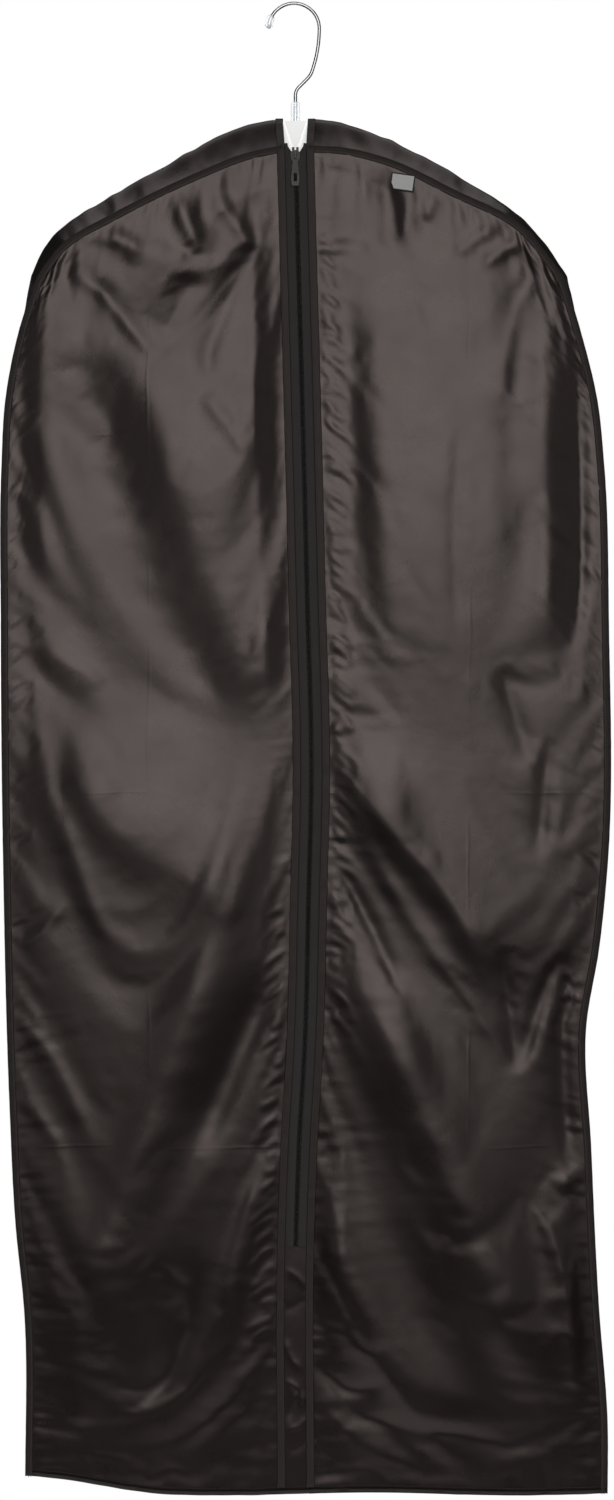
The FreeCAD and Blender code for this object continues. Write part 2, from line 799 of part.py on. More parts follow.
def make_hook():
    """The bent wire hook, its tip cap and the retainer fixed on the end of its stem."""
    spine = doc.addObject("Part::Feature", "hook_centreline")
    spine.Shape = hook_path()
    section = doc.addObject("Part::Circle", "hook_section")
    bind(section, "Radius", "$wire_radius")
    tip_heading = CROWN_START_DEGREES - 90
    section.Placement = Placement(
        crown_point(CROWN_START_DEGREES), Rotation(Vector(0, 1, 0), 90 - tip_heading)
    )
    wire = doc.addObject("Part::Sweep", "hook_sweep")
    wire.Sections = [section]
    wire.Spine = (spine, [f"Edge{number + 1}" for number in range(len(spine.Shape.Edges))])
    wire.Solid = True
    wire.Frenet = True
    node(wire, "hook_wire")

    centre_degrees = CROWN_START_DEGREES - math.degrees(CAP_FROM_TIP / size("crown_radius"))
    along = Rotation(Vector(0, 1, 0), 180 - centre_degrees)
    barrel = doc.addObject("Part::Cylinder", "cap_barrel")
    bind(barrel, "Radius", "$cap_radius")
    bind(barrel, "Height", "$cap_length - 2 * $cap_radius")
    half_barrel = size("cap_length") / 2 - size("cap_radius")
    centre = crown_point(centre_degrees)
    up = along.multVec(Vector(0, 0, half_barrel))
    barrel.Placement = Placement(centre - up, along)
    ends = []
    for number, place in enumerate((centre - up, centre + up), start=1):
        end = doc.addObject("Part::Sphere", f"cap_end_{number}")
        bind(end, "Radius", "$cap_radius")
        end.Placement.Base = place
        ends.append(end)
    solid_cap = fused("cap_solid", [barrel, *ends])
    cap = doc.addObject("Part::Cut", "cap_bored")
    cap.Base = solid_cap
    cap.Tool = wire
    node(cap, "hook_tip_cap")

    button = doc.addObject("Part::Cylinder", "retainer_disc")
    bind(button, "Radius", "$retainer_radius")
    bind(button, "Height", "$retainer_height")
    bind(
        button,
        "Placement.Base.z",
        "-$pocket_top_drop - $swivel_clearance - $retainer_height",
    )
    retainer = doc.addObject("Part::Cut", "retainer_bored")
    retainer.Base = button
    retainer.Tool = wire
    node(retainer, "hook_retainer")


ARM_CLEARANCE = 1.5
ARM_HEIGHT = 8


def arm_section(station, hand, scale):
    """The arm's roof-shaped section under the gusset's ridge, square to the seam."""
    across, drop, heading, rise = station
    depth = half_depth(drop)
    half = size("arm_half_depth") * scale
    top = rise - size("cloth") * math.hypot(depth, rise) / depth - ARM_CLEARANCE
    eaves = top - half * rise / depth
    low = eaves - ARM_HEIGHT * scale
    corners = [(top, 0), (eaves, half), (low, half), (low, -half), (eaves, -half)]
    points = [
        Vector(hand * (across + out * math.sin(heading)), y, -drop + out * math.cos(heading))
        for out, y in corners
    ]
    return Part.makePolygon(points + points[:1])


def arm_tip_station():
    """The station of the arm's tip, between the middle and the end of the shoulder run."""
    middle, end = seam_stations()[2:4]
    part = (size("hanger_tip") - middle[0]) / (end[0] - middle[0])
    return tuple(a + part * (b - a) for a, b in zip(middle, end))


def make_hanger():
    """The moulded hanger: a neck plate with a tapered boss that bears the swivel, and two sloping arms."""
    neck = new_body("hanger_neck")
    drawing = new_sketch(neck, "hanger_neck_outline")
    draw_outline(
        drawing,
        [
            ("-$hanger_half", "-$hanger_top_drop"),
            ("$hanger_half", "-$hanger_top_drop"),
            ("$hanger_half", "-$neck_side_drop"),
            ("$neck_wing_half", "-$neck_wing_top_drop"),
            ("$neck_wing_half", "-$neck_wing_low_drop"),
            ("0", "-$neck_point_drop"),
            ("-$neck_wing_half", "-$neck_wing_low_drop"),
            ("-$neck_wing_half", "-$neck_wing_top_drop"),
            ("-$hanger_half", "-$neck_side_drop"),
        ],
    )
    doc.recompute()
    pad(neck, drawing, "hanger_neck_pad", "2 * $neck_plate_half_depth")
    neck.Placement = Placement(Vector(0, size("neck_plate_half_depth"), 0), Rotation())
    boss = new_body("hanger_boss")
    drawing = new_sketch(boss, "hanger_boss_outline")
    draw_outline(
        drawing,
        [
            ("-$boss_half", "-$hanger_top_drop"),
            ("$boss_half", "-$hanger_top_drop"),
            ("$boss_low_half", "-$boss_low_drop"),
            ("-$boss_low_half", "-$boss_low_drop"),
        ],
    )
    doc.recompute()
    pad(boss, drawing, "hanger_boss_pad", "$boss_front")
    stations = seam_stations()
    arms = []
    for hand in (LEFT, RIGHT):
        arm = doc.addObject("Part::Feature", f"hanger_arm_{SIDE_NAMES[hand]}")
        sections = [arm_section(station, hand, 1) for station in stations[:3]]
        sections.append(arm_section(arm_tip_station(), hand, 0.7))
        arm.Shape = Part.makeLoft(sections, True, True)
        arms.append(arm)
    blank = fused("hanger_blank", [neck, boss, *arms])
    bore = doc.addObject("Part::Cylinder", "hanger_bore")
    bind(bore, "Radius", "$wire_radius + $swivel_clearance")
    bind(bore, "Height", "$pocket_top_drop - $hanger_top_drop + 2")
    bind(bore, "Placement.Base.z", "-$pocket_top_drop - 1")
    pocket = doc.addObject("Part::Box", "hanger_pocket")
    bind(pocket, "Length", "2 * $retainer_radius + 2")
    bind(pocket, "Width", "$boss_front - $boss_wall + 2 * $neck_plate_half_depth")
    bind(pocket, "Height", "$pocket_height")
    bind(pocket, "Placement.Base.x", "-$retainer_radius - 1")
    bind(pocket, "Placement.Base.y", "$boss_wall - $boss_front")
    bind(pocket, "Placement.Base.z", "-$pocket_top_drop - $pocket_height")
    openings = fused("hanger_openings", [bore, pocket])
    hanger = doc.addObject("Part::Cut", "hanger_cut")
    hanger.Base = blank
    hanger.Tool = openings
    node(hanger, "hanger_body")

    collar = new_body("swivel_collar")
    profile = new_sketch(collar, "swivel_collar_profile")
    inner = "$wire_radius + $swivel_clearance"
    top = "-$hanger_top_drop + $collar_height"
    draw_outline(
        profile,
        [
            (inner, top),
            ("0.85 * $collar_radius", top),
            ("$collar_radius", f"{top} - 1.2"),
            ("$collar_radius", "-$hanger_top_drop"),
            (inner, "-$hanger_top_drop"),
        ],
    )
    doc.recompute()
    turned = collar.newObject("PartDesign::Revolution", "swivel_collar_turned")
    turned.Profile = profile
    turned.ReferenceAxis = (profile, ["V_Axis"])
    turned.Angle = 360
    node(collar, "swivel_collar")


# ---------------------------------------------------------------- build, check and export

make_panels()
make_gussets()
make_seam_bindings()
make_placket_bindings()
make_bottom_binding()
make_zip()
make_slider()
make_pull_tab()
make_label()
make_hook()
make_hanger()
doc.recompute()

for item in doc.Objects:
    if "Invalid" in item.State or "Error" in item.State:
        raise RuntimeError(f"{item.Name} ({item.Label}) is {item.State}")
for item in NODES:
    if item.Shape.isNull() or not item.Shape.isValid() or not item.Shape.Solids:
        raise RuntimeError(f"{item.Label} has no valid solid")

os.makedirs("parts", exist_ok=True)
for item in NODES:
    item.Shape.exportStep(f"parts/{item.Label}.step")
    limits = item.Shape.BoundBox
    print(
        f"{item.Label}: {item.Shape.Volume:.0f} mm3,"
        f" x {limits.XMin:.1f}..{limits.XMax:.1f},"
        f" y {limits.YMin:.1f}..{limits.YMax:.1f},"
        f" z {limits.ZMin:.1f}..{limits.ZMax:.1f}"
    )
print(f"{len(NODES)} nodes")
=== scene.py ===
"""A long black nylon garment bag on a white hanger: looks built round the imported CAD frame.

Cloth is worked out in millimetres in the row frame (X right, Y back, Z up) and turned into metres where
a mesh is made. A "hand" is -1 for the left of the zip and +1 for the right, and a "face" is -1 for the
front of the bag and +1 for the back.
"""

import math

import bpy
import numpy as np
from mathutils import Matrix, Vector


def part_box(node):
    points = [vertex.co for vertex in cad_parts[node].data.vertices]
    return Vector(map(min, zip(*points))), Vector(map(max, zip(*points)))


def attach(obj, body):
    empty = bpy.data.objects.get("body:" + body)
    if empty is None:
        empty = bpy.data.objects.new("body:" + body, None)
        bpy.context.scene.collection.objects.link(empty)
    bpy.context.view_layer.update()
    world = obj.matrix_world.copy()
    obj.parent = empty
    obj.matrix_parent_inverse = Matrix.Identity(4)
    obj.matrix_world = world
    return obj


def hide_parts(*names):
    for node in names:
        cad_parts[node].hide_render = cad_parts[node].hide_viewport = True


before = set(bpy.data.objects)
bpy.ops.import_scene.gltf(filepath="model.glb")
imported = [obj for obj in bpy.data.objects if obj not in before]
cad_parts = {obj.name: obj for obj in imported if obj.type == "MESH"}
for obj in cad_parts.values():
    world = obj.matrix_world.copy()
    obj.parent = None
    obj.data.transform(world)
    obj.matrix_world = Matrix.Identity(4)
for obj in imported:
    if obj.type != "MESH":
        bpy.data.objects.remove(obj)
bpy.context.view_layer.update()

MM = 0.001
FRONT, BACK = -1, 1
LEFT, RIGHT = -1, 1
SIDES = (LEFT, "left"), (RIGHT, "right")
FACES = (FRONT, "front"), (BACK, "back")


def box_mm(node):
    """A CAD node's lowest and highest corners in millimetres."""
    low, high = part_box(node)
    return np.array(low) / MM, np.array(high) / MM


# ---- sizes from the frame

PANEL_LOW, PANEL_HIGH = box_mm("back_panel")
HALF_WIDTH = PANEL_HIGH[0]
NECK_Z = PANEL_HIGH[2]
BOTTOM_Z = PANEL_LOW[2]
DEPTH_TOP = PANEL_HIGH[1]
DEPTH_BOTTOM = PANEL_LOW[1]
RIDGE_Z = box_mm("gusset_left")[1][2]
NECK_HALF = box_mm("gusset_right")[0][0]
ZIP_TOP_Z = box_mm("zip_tape_left")[1][2]
ZIP_END_Z = box_mm("zip_tape_left")[0][2]
BINDING_INNER = box_mm("placket_binding_right")[0][0]
BINDING_OUTER = box_mm("placket_binding_right")[1][0]


# ---- small maths

def smooth(t):
    """A smooth step from 0 to 1."""
    t = np.clip(t, 0.0, 1.0)
    return t * t * (3 - 2 * t)


def smooth_curve(knots, values, at):
    """A smooth curve through values at rising knots; each value is a number or a point."""
    slopes = np.gradient(values, knots, axis=0)
    at = np.clip(np.asarray(at, float), knots[0], knots[-1])
    place = np.clip(np.searchsorted(knots, at, side="right") - 1, 0, len(knots) - 2)
    width = knots[place + 1] - knots[place]
    f = (at - knots[place]) / width
    if values.ndim > 1:
        f, width = f[..., None], width[..., None]
    return (
        (2 * f**3 - 3 * f**2 + 1) * values[place]
        + (f**3 - 2 * f**2 + f) * width * slopes[place]
        + (-2 * f**3 + 3 * f**2) * values[place + 1]
        + (f**3 - f**2) * width * slopes[place + 1]
    )


def length_along(points):
    """The distance along a polyline at each of its points."""
    return np.concatenate([[0], np.cumsum(np.linalg.norm(np.diff(points, axis=0), axis=1))])


def spline(points, t):
    """A smooth line through points, at parameters t from 0 to 1, spaced by chord length."""
    points = np.asarray(points, float)
    along = length_along(points)
    return smooth_curve(along / along[-1], points, t)


def curve_at(heights, values, z):
    """A smooth function of height through a few (height, value) pairs, heights going down."""
    return smooth_curve(-np.asarray(heights, float), np.asarray(values, float), -np.asarray(z, float))


def resampled(points, step):
    """Points along a polyline, about step apart, with the distance along it."""
    points = np.asarray(points, float)
    along = length_along(points)
    count = max(2, int(round(along[-1] / step)) + 1)
    at = np.linspace(0, along[-1], count)
    line = np.stack([np.interp(at, along, points[:, k]) for k in range(points.shape[1])], axis=1)
    return line, at


def unit(vectors):
    """Each row of an array scaled to length 1."""
    return vectors / np.linalg.norm(vectors, axis=1, keepdims=True)


def smoothed(values, width):
    """Values along a line, averaged with a soft window of an odd width."""
    window = np.hanning(width)
    return np.convolve(np.pad(values, width // 2, mode="edge"), window / window.sum(), mode="valid")


def wave_noise(x, seed, wavelength):
    """Smooth random waves along a line, about -1 to 1, of about that wavelength."""
    random = np.random.default_rng(seed)
    total = np.zeros_like(x, dtype=float)
    for stretch in (0.62, 0.81, 1.0, 1.27, 1.6):
        total += np.sin(2 * math.pi * x / (wavelength * stretch) + random.uniform(0, 6.283))
    return total / 2.6


def lattice_noise(x, z, seed, size):
    """Smooth random hills over a plane, about -1 to 1, about `size` across."""
    random = np.random.default_rng(seed)
    cells = random.uniform(-1, 1, (64, 64))
    u, v = x / size, z / size
    i, j = np.floor(u).astype(int), np.floor(v).astype(int)
    f, g = smooth(u - i), smooth(v - j)
    a = cells[i % 64, j % 64]
    b = cells[(i + 1) % 64, j % 64]
    c = cells[i % 64, (j + 1) % 64]
    d = cells[(i + 1) % 64, (j + 1) % 64]
    return (a * (1 - f) + b * f) * (1 - g) + (c * (1 - f) + d * f) * g


# ---- the hanging outline

def zip_x(z):
    """Where the zip's centre line hangs: it bows to the right between its two ends."""
    heights = [NECK_Z, -240, -400, -600, -760, -900, -1025, -1150, ZIP_END_Z, BOTTOM_Z]
    bow = [0.2, 2.5, 7.0, 12.0, 16.0, 13.0, 10.0, 3.2, 0.2, 0.6]
    return curve_at(heights, bow, z)


SIDE_LINES = {
    LEFT: (
        [-272, -330, -395, -460, -620, -860, -1100, -1220, -1300, BOTTOM_Z],
        [-256, -275, -288, -292, -293, -291, -285, -279, -271, -270],
    ),
    RIGHT: (
        [-272, -330, -395, -460, -620, -860, -940, -1020, -1140, -1300, -1420, BOTTOM_Z],
        [266, 284, 300, 307, 312, 311, 303, 290, 295, 303, 312, 312],
    ),
}


def side_x(hand, z):
    """The hanging bag's edge at a height."""
    heights, values = SIDE_LINES[hand]
    return curve_at(heights, values, z)


SHOULDER_LINES = {
    LEFT: [(-NECK_HALF, NECK_Z + 1), (-46, -152), (-95, -171), (-180, -212), (-232, -243), (-256, -272)],
    RIGHT: [(NECK_HALF, NECK_Z + 1), (46, -147), (85, -156), (160, -190), (222, -222), (266, -272)],
}


def bottom_z(x):
    """The bottom edge, a little higher on the left, where the folds take up the cloth."""
    return BOTTOM_Z + 1 + 18 * smooth((-120 - x) / 170) + 1.5 * np.sin(x / 47.0)


def closer_at_seams(t):
    """Spreads columns from 0 to 1 so that they stand closest at the zip, and close at the side seam."""
    spaced = np.cumsum(1 - 0.62 * np.exp(-((t / 0.16) ** 2)) - 0.3 * np.exp(-(((1 - t) / 0.1) ** 2)))
    return (spaced - spaced[0]) / (spaced[-1] - spaced[0])


def outline(hand, count_across, count_down):
    """Grid of (x, z) over one front half: rows run from the zip to the side, columns from top to bottom."""
    u = closer_at_seams(np.linspace(0, 1, count_across))
    v = np.linspace(0, 1, count_down)
    top = spline(SHOULDER_LINES[hand], u)
    point = top[-1]
    low_side = side_x(hand, BOTTOM_Z)
    side_z = point[1] + (bottom_z(low_side) - point[1]) * v
    side = np.stack([side_x(hand, side_z), side_z], axis=1)
    side[:, 0] += (point[0] - side[0, 0]) * (1 - smooth(v * 12))
    inner_z = top[0, 1] + (bottom_z(0) - top[0, 1]) * v
    inner = np.stack([zip_x(inner_z) + hand * NECK_HALF, inner_z], axis=1)
    bottom_x = inner[-1, 0] + (side[-1, 0] - inner[-1, 0]) * u
    bottom = np.stack([bottom_x, bottom_z(bottom_x)], axis=1)
    a, b = u[None, :, None], v[:, None, None]
    ruled_across = (1 - a) * inner[:, None] + a * side[:, None]
    ruled_down = (1 - b) * top[None] + b * bottom[None]
    top_corners = (1 - a) * (1 - b) * top[0] + a * (1 - b) * top[-1]
    corners = top_corners + (1 - a) * b * bottom[0] + a * b * bottom[-1]
    return ruled_across + ruled_down - corners


def half_depth(z):
    """Half the distance between the panels where they hang still."""
    part = (NECK_Z - np.asarray(z, float)) / (NECK_Z - BOTTOM_Z)
    return DEPTH_TOP + (DEPTH_BOTTOM - DEPTH_TOP) * np.clip(part, 0, 1)


# ---- folds

def beside(x, z, points):
    """How far each point lies from a given line, the same with a sign (above 0 on the left of the line's
    way), and how far along the line its nearest place is, from 0 to 1."""
    line, along = resampled(spline(points, np.linspace(0, 1, 12 * len(points))), 8.0)
    best = np.full(x.shape, 1e9)
    place = np.zeros(x.shape)
    side = np.zeros(x.shape)
    for number in range(len(line) - 1):
        a, b = line[number], line[number + 1]
        d = b - a
        t = np.clip(((x - a[0]) * d[0] + (z - a[1]) * d[1]) / (d @ d), 0, 1)
        gap = np.hypot(x - a[0] - t * d[0], z - a[1] - t * d[1])
        nearer = gap < best
        best = np.where(nearer, gap, best)
        side = np.where(nearer, (d[0] * (z - a[1]) - d[1] * (x - a[0])) / np.linalg.norm(d), side)
        place = np.where(nearer, (along[number] + t * (along[number + 1] - along[number])) / along[-1], place)
    return best, side, place


def fading(place, tail):
    """Fades a fold out towards both its ends."""
    return smooth(place / tail) * smooth((1 - place) / tail)


def fold(x, z, points, height, left, right, tail=0.3):
    """A ridge (height above 0) or hollow along a line, as wide to the left and right of its way as those two
    say."""
    away, side, place = beside(x, z, points)
    blur = 0.6 * min(left, right)
    reach = left + (right - left) * smooth(0.5 - side / blur)
    return height * fading(place, tail) / (1 + (away / reach) ** 2) ** 1.5


def slant(x, z, points, height, reach, tail=0.25):
    """A band of cloth that slopes from high on the left of a line's way to low on its right."""
    _, side, place = beside(x, z, points)
    u = side / reach
    return height * fading(place, tail) * 2 * u / (1 + u**2) ** 1.5


SLANTS = {
    # broad bands that tilt away from the light: (line of (x, z) points, height, reach)
    LEFT: [
        (
            [(-236, -270), (-196, -350), (-160, -430), (-128, -520), (-98, -600), (-62, -684), (-16, -780)],
            10, 60,
        ),
    ],
    RIGHT: [
        ([(62, -240), (68, -360), (72, -480), (76, -580), (92, -690)], 2.4, 30),
        ([(196, -280), (206, -400), (212, -500), (214, -600)], -2.6, 40),
    ],
}

BROAD_FOLDS = {
    # the big forms: (line of (x, z) points, height, reach to the left and to the right of its way)
    LEFT: [
        # the edge that turns in to the zip, and the upright fold down the side
        ([(-36, -160), (-44, -300), (-42, -430), (-22, -550)], 5, 26, 60),
        ([(-238, -272), (-247, -340), (-248, -470), (-244, -640)], 6, 50, 30),
        # the lower edge of the middle plate
        ([(-252, -716), (-206, -784), (-152, -836), (-84, -880), (0, -916)], 11, 80, 52),
        # the long diagonal to the lower left corner, and the hollows on its right
        (
            [
                (-20, -850), (-56, -896), (-80, -954), (-110, -1030),
                (-136, -1100), (-168, -1190), (-202, -1280), (-236, -1400),
            ],
            13, 50, 40,
        ),
        ([(-16, -950), (-60, -1050), (-110, -1160)], -6, 28, 26),
        ([(-146, -1236), (-110, -1296), (-122, -1358), (-170, -1420)], -5.5, 18, 26),
    ],
    RIGHT: [
        # the light plate, and the ridge along the side
        ([(112, -290), (128, -460), (146, -640), (152, -760)], 4.5, 70, 56),
        ([(238, -262), (246, -330), (247, -450), (250, -580), (256, -720)], 5, 26, 24),
        # the plate's lower edge, and the long diagonal to the lower right
        ([(30, -738), (70, -790), (116, -842), (156, -890), (182, -944), (202, -1010)], 11, 62, 27),
        (
            [(28, -920), (74, -990), (112, -1062), (150, -1150), (184, -1240), (222, -1340), (266, -1440)],
            16, 58, 42,
        ),
        # the light triangle by the zip's end
        ([(-24, -1150), (30, -1262), (84, -1352), (140, -1424), (190, -1476)], 12, 62, 30),
    ],
}

FOLDS = {
    # the thin folds, given the same way
    LEFT: [
        # swags under the shoulder seam, and the hollow that ends them
        ([(-214, -216), (-176, -236), (-146, -256)], -3.6, 12, 16),
        ([(-126, -172), (-110, -214), (-92, -256)], -4.2, 15, 13),
        ([(-80, -190), (-56, -228), (-36, -256)], -3.2, 12, 12),
        ([(-176, -260), (-112, -252), (-60, -252), (-30, -260)], -4, 28, 40),
        # a V of thin folds hanging from the shoulder
        ([(-232, -264), (-192, -292), (-156, -336), (-124, -368)], 3, 18, 8),
        ([(-92, -260), (-116, -304), (-142, -352)], 3, 17, 24),
        ([(-50, -260), (-70, -310), (-84, -352), (-76, -400)], 2, 10, 15),
        ([(-100, -384), (-66, -424), (-36, -470)], 1.8, 18, 10),
        ([(-262, -630), (-226, -662), (-176, -678)], 2.4, 16, 20),
        ([(-238, -790), (-219, -852), (-182, -946)], 2.6, 13, 15),
        # folds from the side seam
        ([(-292, -946), (-258, -930), (-222, -890)], 2, 9, 10),
        ([(-288, -1004), (-250, -1040), (-224, -1086), (-200, -1144)], 2.2, 10, 12),
        ([(-286, -1084), (-258, -1108), (-226, -1148)], 1.8, 9, 10),
        ([(-22, -1146), (-52, -1220), (-64, -1278), (-56, -1336)], 3.6, 20, 13),
        ([(-206, -1280), (-216, -1360), (-206, -1440)], 3.6, 22, 18),
        ([(-30, -1340), (-64, -1390), (-120, -1440)], 2.6, 15, 19),
    ],
    RIGHT: [
        # swags under the shoulder seam, and short creases at the shoulder point
        ([(116, -164), (112, -206), (102, -250)], -2.4, 13, 12),
        ([(144, -176), (136, -198), (126, -224)], -1.8, 9, 9),
        ([(84, -160), (92, -210), (98, -262)], 2, 14, 14),
        ([(246, -230), (216, -244), (176, -272)], -2.4, 8, 9),
        ([(212, -216), (186, -233), (152, -258)], -1.8, 8, 9),
        ([(246, -256), (222, -296), (208, -350), (204, -420)], 2.6, 13, 18),
        ([(166, -400), (158, -520), (162, -660)], -1.2, 8, 11),
        ([(276, -340), (284, -450), (284, -560), (280, -660)], -4, 12, 12),
        # dents beside the ridge
        ([(202, -640), (218, -706), (240, -776)], -3.2, 17, 15),
        ([(254, -716), (247, -790), (241, -866)], -2.8, 10, 12),
        ([(34, -842), (76, -918), (110, -1004)], -2.6, 9, 11),
        ([(56, -812), (120, -920), (180, -1006), (224, -1074)], 3.2, 16, 13),
        # a V where two folds meet, and hollows along the side
        ([(200, -920), (212, -1000), (220, -1074)], -3.2, 12, 9),
        ([(262, -936), (238, -1010), (220, -1074)], -3.2, 9, 12),
        ([(276, -926), (270, -1000), (272, -1100), (284, -1186)], -7.5, 14, 15),
        ([(258, -1186), (284, -1164), (306, -1136)], 4, 12, 10),
        ([(226, -1170), (262, -1250), (278, -1330), (288, -1410)], 6, 18, 16),
        # creases above the bottom hem
        ([(22, -1240), (46, -1290), (78, -1352)], -3.4, 10, 11),
        ([(20, -1358), (54, -1384), (100, -1368)], -2.2, 10, 11),
        ([(18, -1400), (80, -1414), (150, -1424), (240, -1444)], -1.6, 12, 11),
    ],
}


def tuck_lines(hand, face_seed):
    """Short slanting tucks pulled in by the stitches beside the zip, most of them where the tape is tight."""
    random = np.random.default_rng(face_seed)
    lowest, highest, pitch, slope = (-1010, -235, 9.5, 0.85) if hand == RIGHT else (-1330, -900, 13.0, 0.7)
    z = highest
    while z > lowest:
        length = random.uniform(12, 34)
        start = zip_x(z) + hand * (BINDING_OUTER + 1)
        drop = slope * length * random.uniform(0.5, 1.3)
        line = [(start, z), (start + hand * 0.5 * length, z - 0.4 * drop), (start + hand * length, z - drop)]
        yield line, random.uniform(0.5, 1.25), random.uniform(2.6, 4.6)
        z -= pitch * random.uniform(0.55, 1.5)


PUCKERS = ((7, 9, 0.35), (13, 20, 0.75), (26, 44, 1.2), (47, 80, 1.3))    # wavelength, reach and height


def cascade(along, away, seed, strength):
    """Puckers that start at a seam: fine and close at the stitches, wider and longer further in."""
    total = np.zeros_like(along, dtype=float)
    for number, (wavelength, reach, height) in enumerate(PUCKERS):
        drift = away * 0.15 * (-1) ** number
        patchy = 0.6 + 0.4 * wave_noise(along, seed + 7 * number + 3, wavelength * 6)
        ripples = wave_noise(along + drift, seed + number, wavelength)
        total += height * patchy * smooth(away / (0.25 * reach)) * np.exp(-away / reach) * ripples
    return strength * total


BY_THE_ZIP = 34                      # the columns of a front panel's grid that its tucks can reach
ZIP_REACH, SEAM_REACH = 36, 30       # how far the zip and a seam hold the cloth down, in mm
HELD_SHARE = 0.15                    # how much of a fold is left at the seams
BROAD_BEFORE, BROAD_AFTER = 0.5, 0.65         # the share of the broad forms before and after settling


def locked(grid, first_reach):
    """From 0 at a panel's seams to 1 where its cloth is free to fold; first_reach is for its first column."""
    _, away_top, away_first, away_last = distances(grid)
    away_bottom = away_top[-1:] - away_top
    sides = smooth(away_first / first_reach) * smooth(away_last / SEAM_REACH)
    return sides * smooth(away_bottom / 40) * smooth(away_top / SEAM_REACH)


def broad_relief(hand, grid):
    """The broad folds and slants of a front panel (mm)."""
    x, z = grid[..., 0], grid[..., 1]
    total = np.zeros(x.shape)
    for points, height, left, right in BROAD_FOLDS[hand]:
        total += fold(x, z, points, height, left, right)
    for points, height, reach in SLANTS[hand]:
        total += slant(x, z, points, height, reach)
    return total


def relief(grid, lines, hills, seam_reach, seeds, strengths, base=0.0):
    """How far each point of a panel stands out (mm): its folds, hills of three sizes, and its seams' puckers.
    Hills are (height, seed) pairs; seeds and strengths are for the top, first, last and bottom edges."""
    x, z = grid[..., 0], grid[..., 1]
    total = base + np.zeros(x.shape)
    for line in lines:
        total += fold(x, z, *line)
    for (height, seed), (lean, squash, size) in zip(hills, ((0, 0.45, 80), (0.4, 1, 34), (-0.3, 1, 14))):
        total += height * lattice_noise(x + lean * z, squash * z, seed, size)
    along_top, away_top, away_first, away_last = distances(grid)
    total *= HELD_SHARE + (1 - HELD_SHARE) * locked(grid, seam_reach)
    down_first, down_last = (np.broadcast_to(away_top[:, column, None], x.shape) for column in (0, -1))
    alongs = along_top, down_first, down_last, x
    aways = away_top, away_first, away_last, away_top[-1:] - away_top
    for along, away, seed, strength in zip(alongs, aways, seeds, strengths):
        total += cascade(along, away, seed, strength)
    return total


def front_relief(hand, grid):
    """A front panel's relief, from the big folds down to the tucks beside the zip."""
    hills = (1.2, 11 + hand), (0.3, 23 + hand), (0.1, 31 + hand)
    seeds = 41 + hand, 53 + hand, 67 + hand, 79 + hand
    strengths = 0.7, 0.55 if hand == RIGHT else 0.3, 0.45, 0.4
    broad = BROAD_BEFORE * broad_relief(hand, grid)
    total = relief(grid, FOLDS[hand], hills, ZIP_REACH, seeds, strengths, broad)
    near = grid[:, :BY_THE_ZIP]
    for line, height, reach in tuck_lines(hand, 87 + hand):
        total[:, :BY_THE_ZIP] += fold(near[..., 0], near[..., 1], line, height, reach, reach, 0.35)
    return total


def distances(grid):
    """Along the top row, and away from the top row, the first column and the last column, in the cloth."""
    def run(axis):
        steps = np.linalg.norm(np.diff(grid, axis=axis), axis=-1)
        start = np.zeros_like(np.take(grid[..., 0], [0], axis=axis))
        return np.concatenate([start, np.cumsum(steps, axis=axis)], axis=axis)

    down, across = run(0), run(1)
    return np.broadcast_to(across[:1], down.shape), down, across, across[:, -1:] - across


# ---- making meshes

def new_object(name, data):
    """An object in the scene."""
    item = bpy.data.objects.new(name, data)
    bpy.context.scene.collection.objects.link(item)
    return item


def mesh_object(name, points, faces, smooth_shading=True):
    """A mesh object from points in millimetres."""
    mesh = bpy.data.meshes.new(name)
    mesh.from_pydata((np.asarray(points) * MM).tolist(), [], [tuple(f) for f in faces])
    mesh.update()
    if smooth_shading:
        mesh.polygons.foreach_set("use_smooth", [True] * len(mesh.polygons))
    return new_object(name, mesh)


def grid_object(name, points, flip=False):
    """A sheet from an array of points, rows by columns by 3."""
    rows, columns = points.shape[:2]
    index = np.arange(rows * columns).reshape(rows, columns)
    a, b = index[:-1, :-1].ravel(), index[:-1, 1:].ravel()
    c, d = index[1:, 1:].ravel(), index[1:, :-1].ravel()
    quads = np.stack([a, b, c, d] if flip else [a, d, c, b], axis=1)
    return mesh_object(name, points.reshape(-1, 3), quads)


def sheet_area(points):
    """The area of a grid of points, in square metres."""
    a = points[1:, 1:] - points[:-1, :-1]
    b = points[1:, :-1] - points[:-1, 1:]
    return float(np.linalg.norm(np.cross(a, b), axis=-1).sum() / 2) * MM * MM


# ---- the front panels

SEAM_INSET = 6.0
ACROSS = 96
DOWN = 430


def inset_outline(hand):
    """The panel's grid, inside the bound edge that runs round it."""
    grid = outline(hand, ACROSS, DOWN)
    grid[..., 0] -= hand * SEAM_INSET * closer_at_seams(np.linspace(0, 1, ACROSS)) ** 2
    grid[..., 1] -= SEAM_INSET * (1 - np.linspace(0, 1, DOWN)[:, None]) ** 6
    return grid


SHOULDER_POINT = (240, -285)
SHOULDER_SPREAD = (75, 95)
SHOULDER_RISE, BELLY_RISE = 9.0, 4.0


def standing_depth(x, z):
    """How far from the middle a panel hangs, before its folds: fuller at the shoulder points."""
    beside_point = (np.abs(x) - SHOULDER_POINT[0]) / SHOULDER_SPREAD[0]
    above_point = (z - SHOULDER_POINT[1]) / SHOULDER_SPREAD[1]
    shoulder = SHOULDER_RISE * np.exp(-(beside_point**2) - above_point**2)
    belly = BELLY_RISE * smooth((NECK_Z - z) / 350) * smooth((z - BOTTOM_Z) / 300)
    belly = belly * smooth((np.abs(x) - 18) / 90) * smooth((HALF_WIDTH - np.abs(x)) / 110)
    return half_depth(z) + shoulder + belly


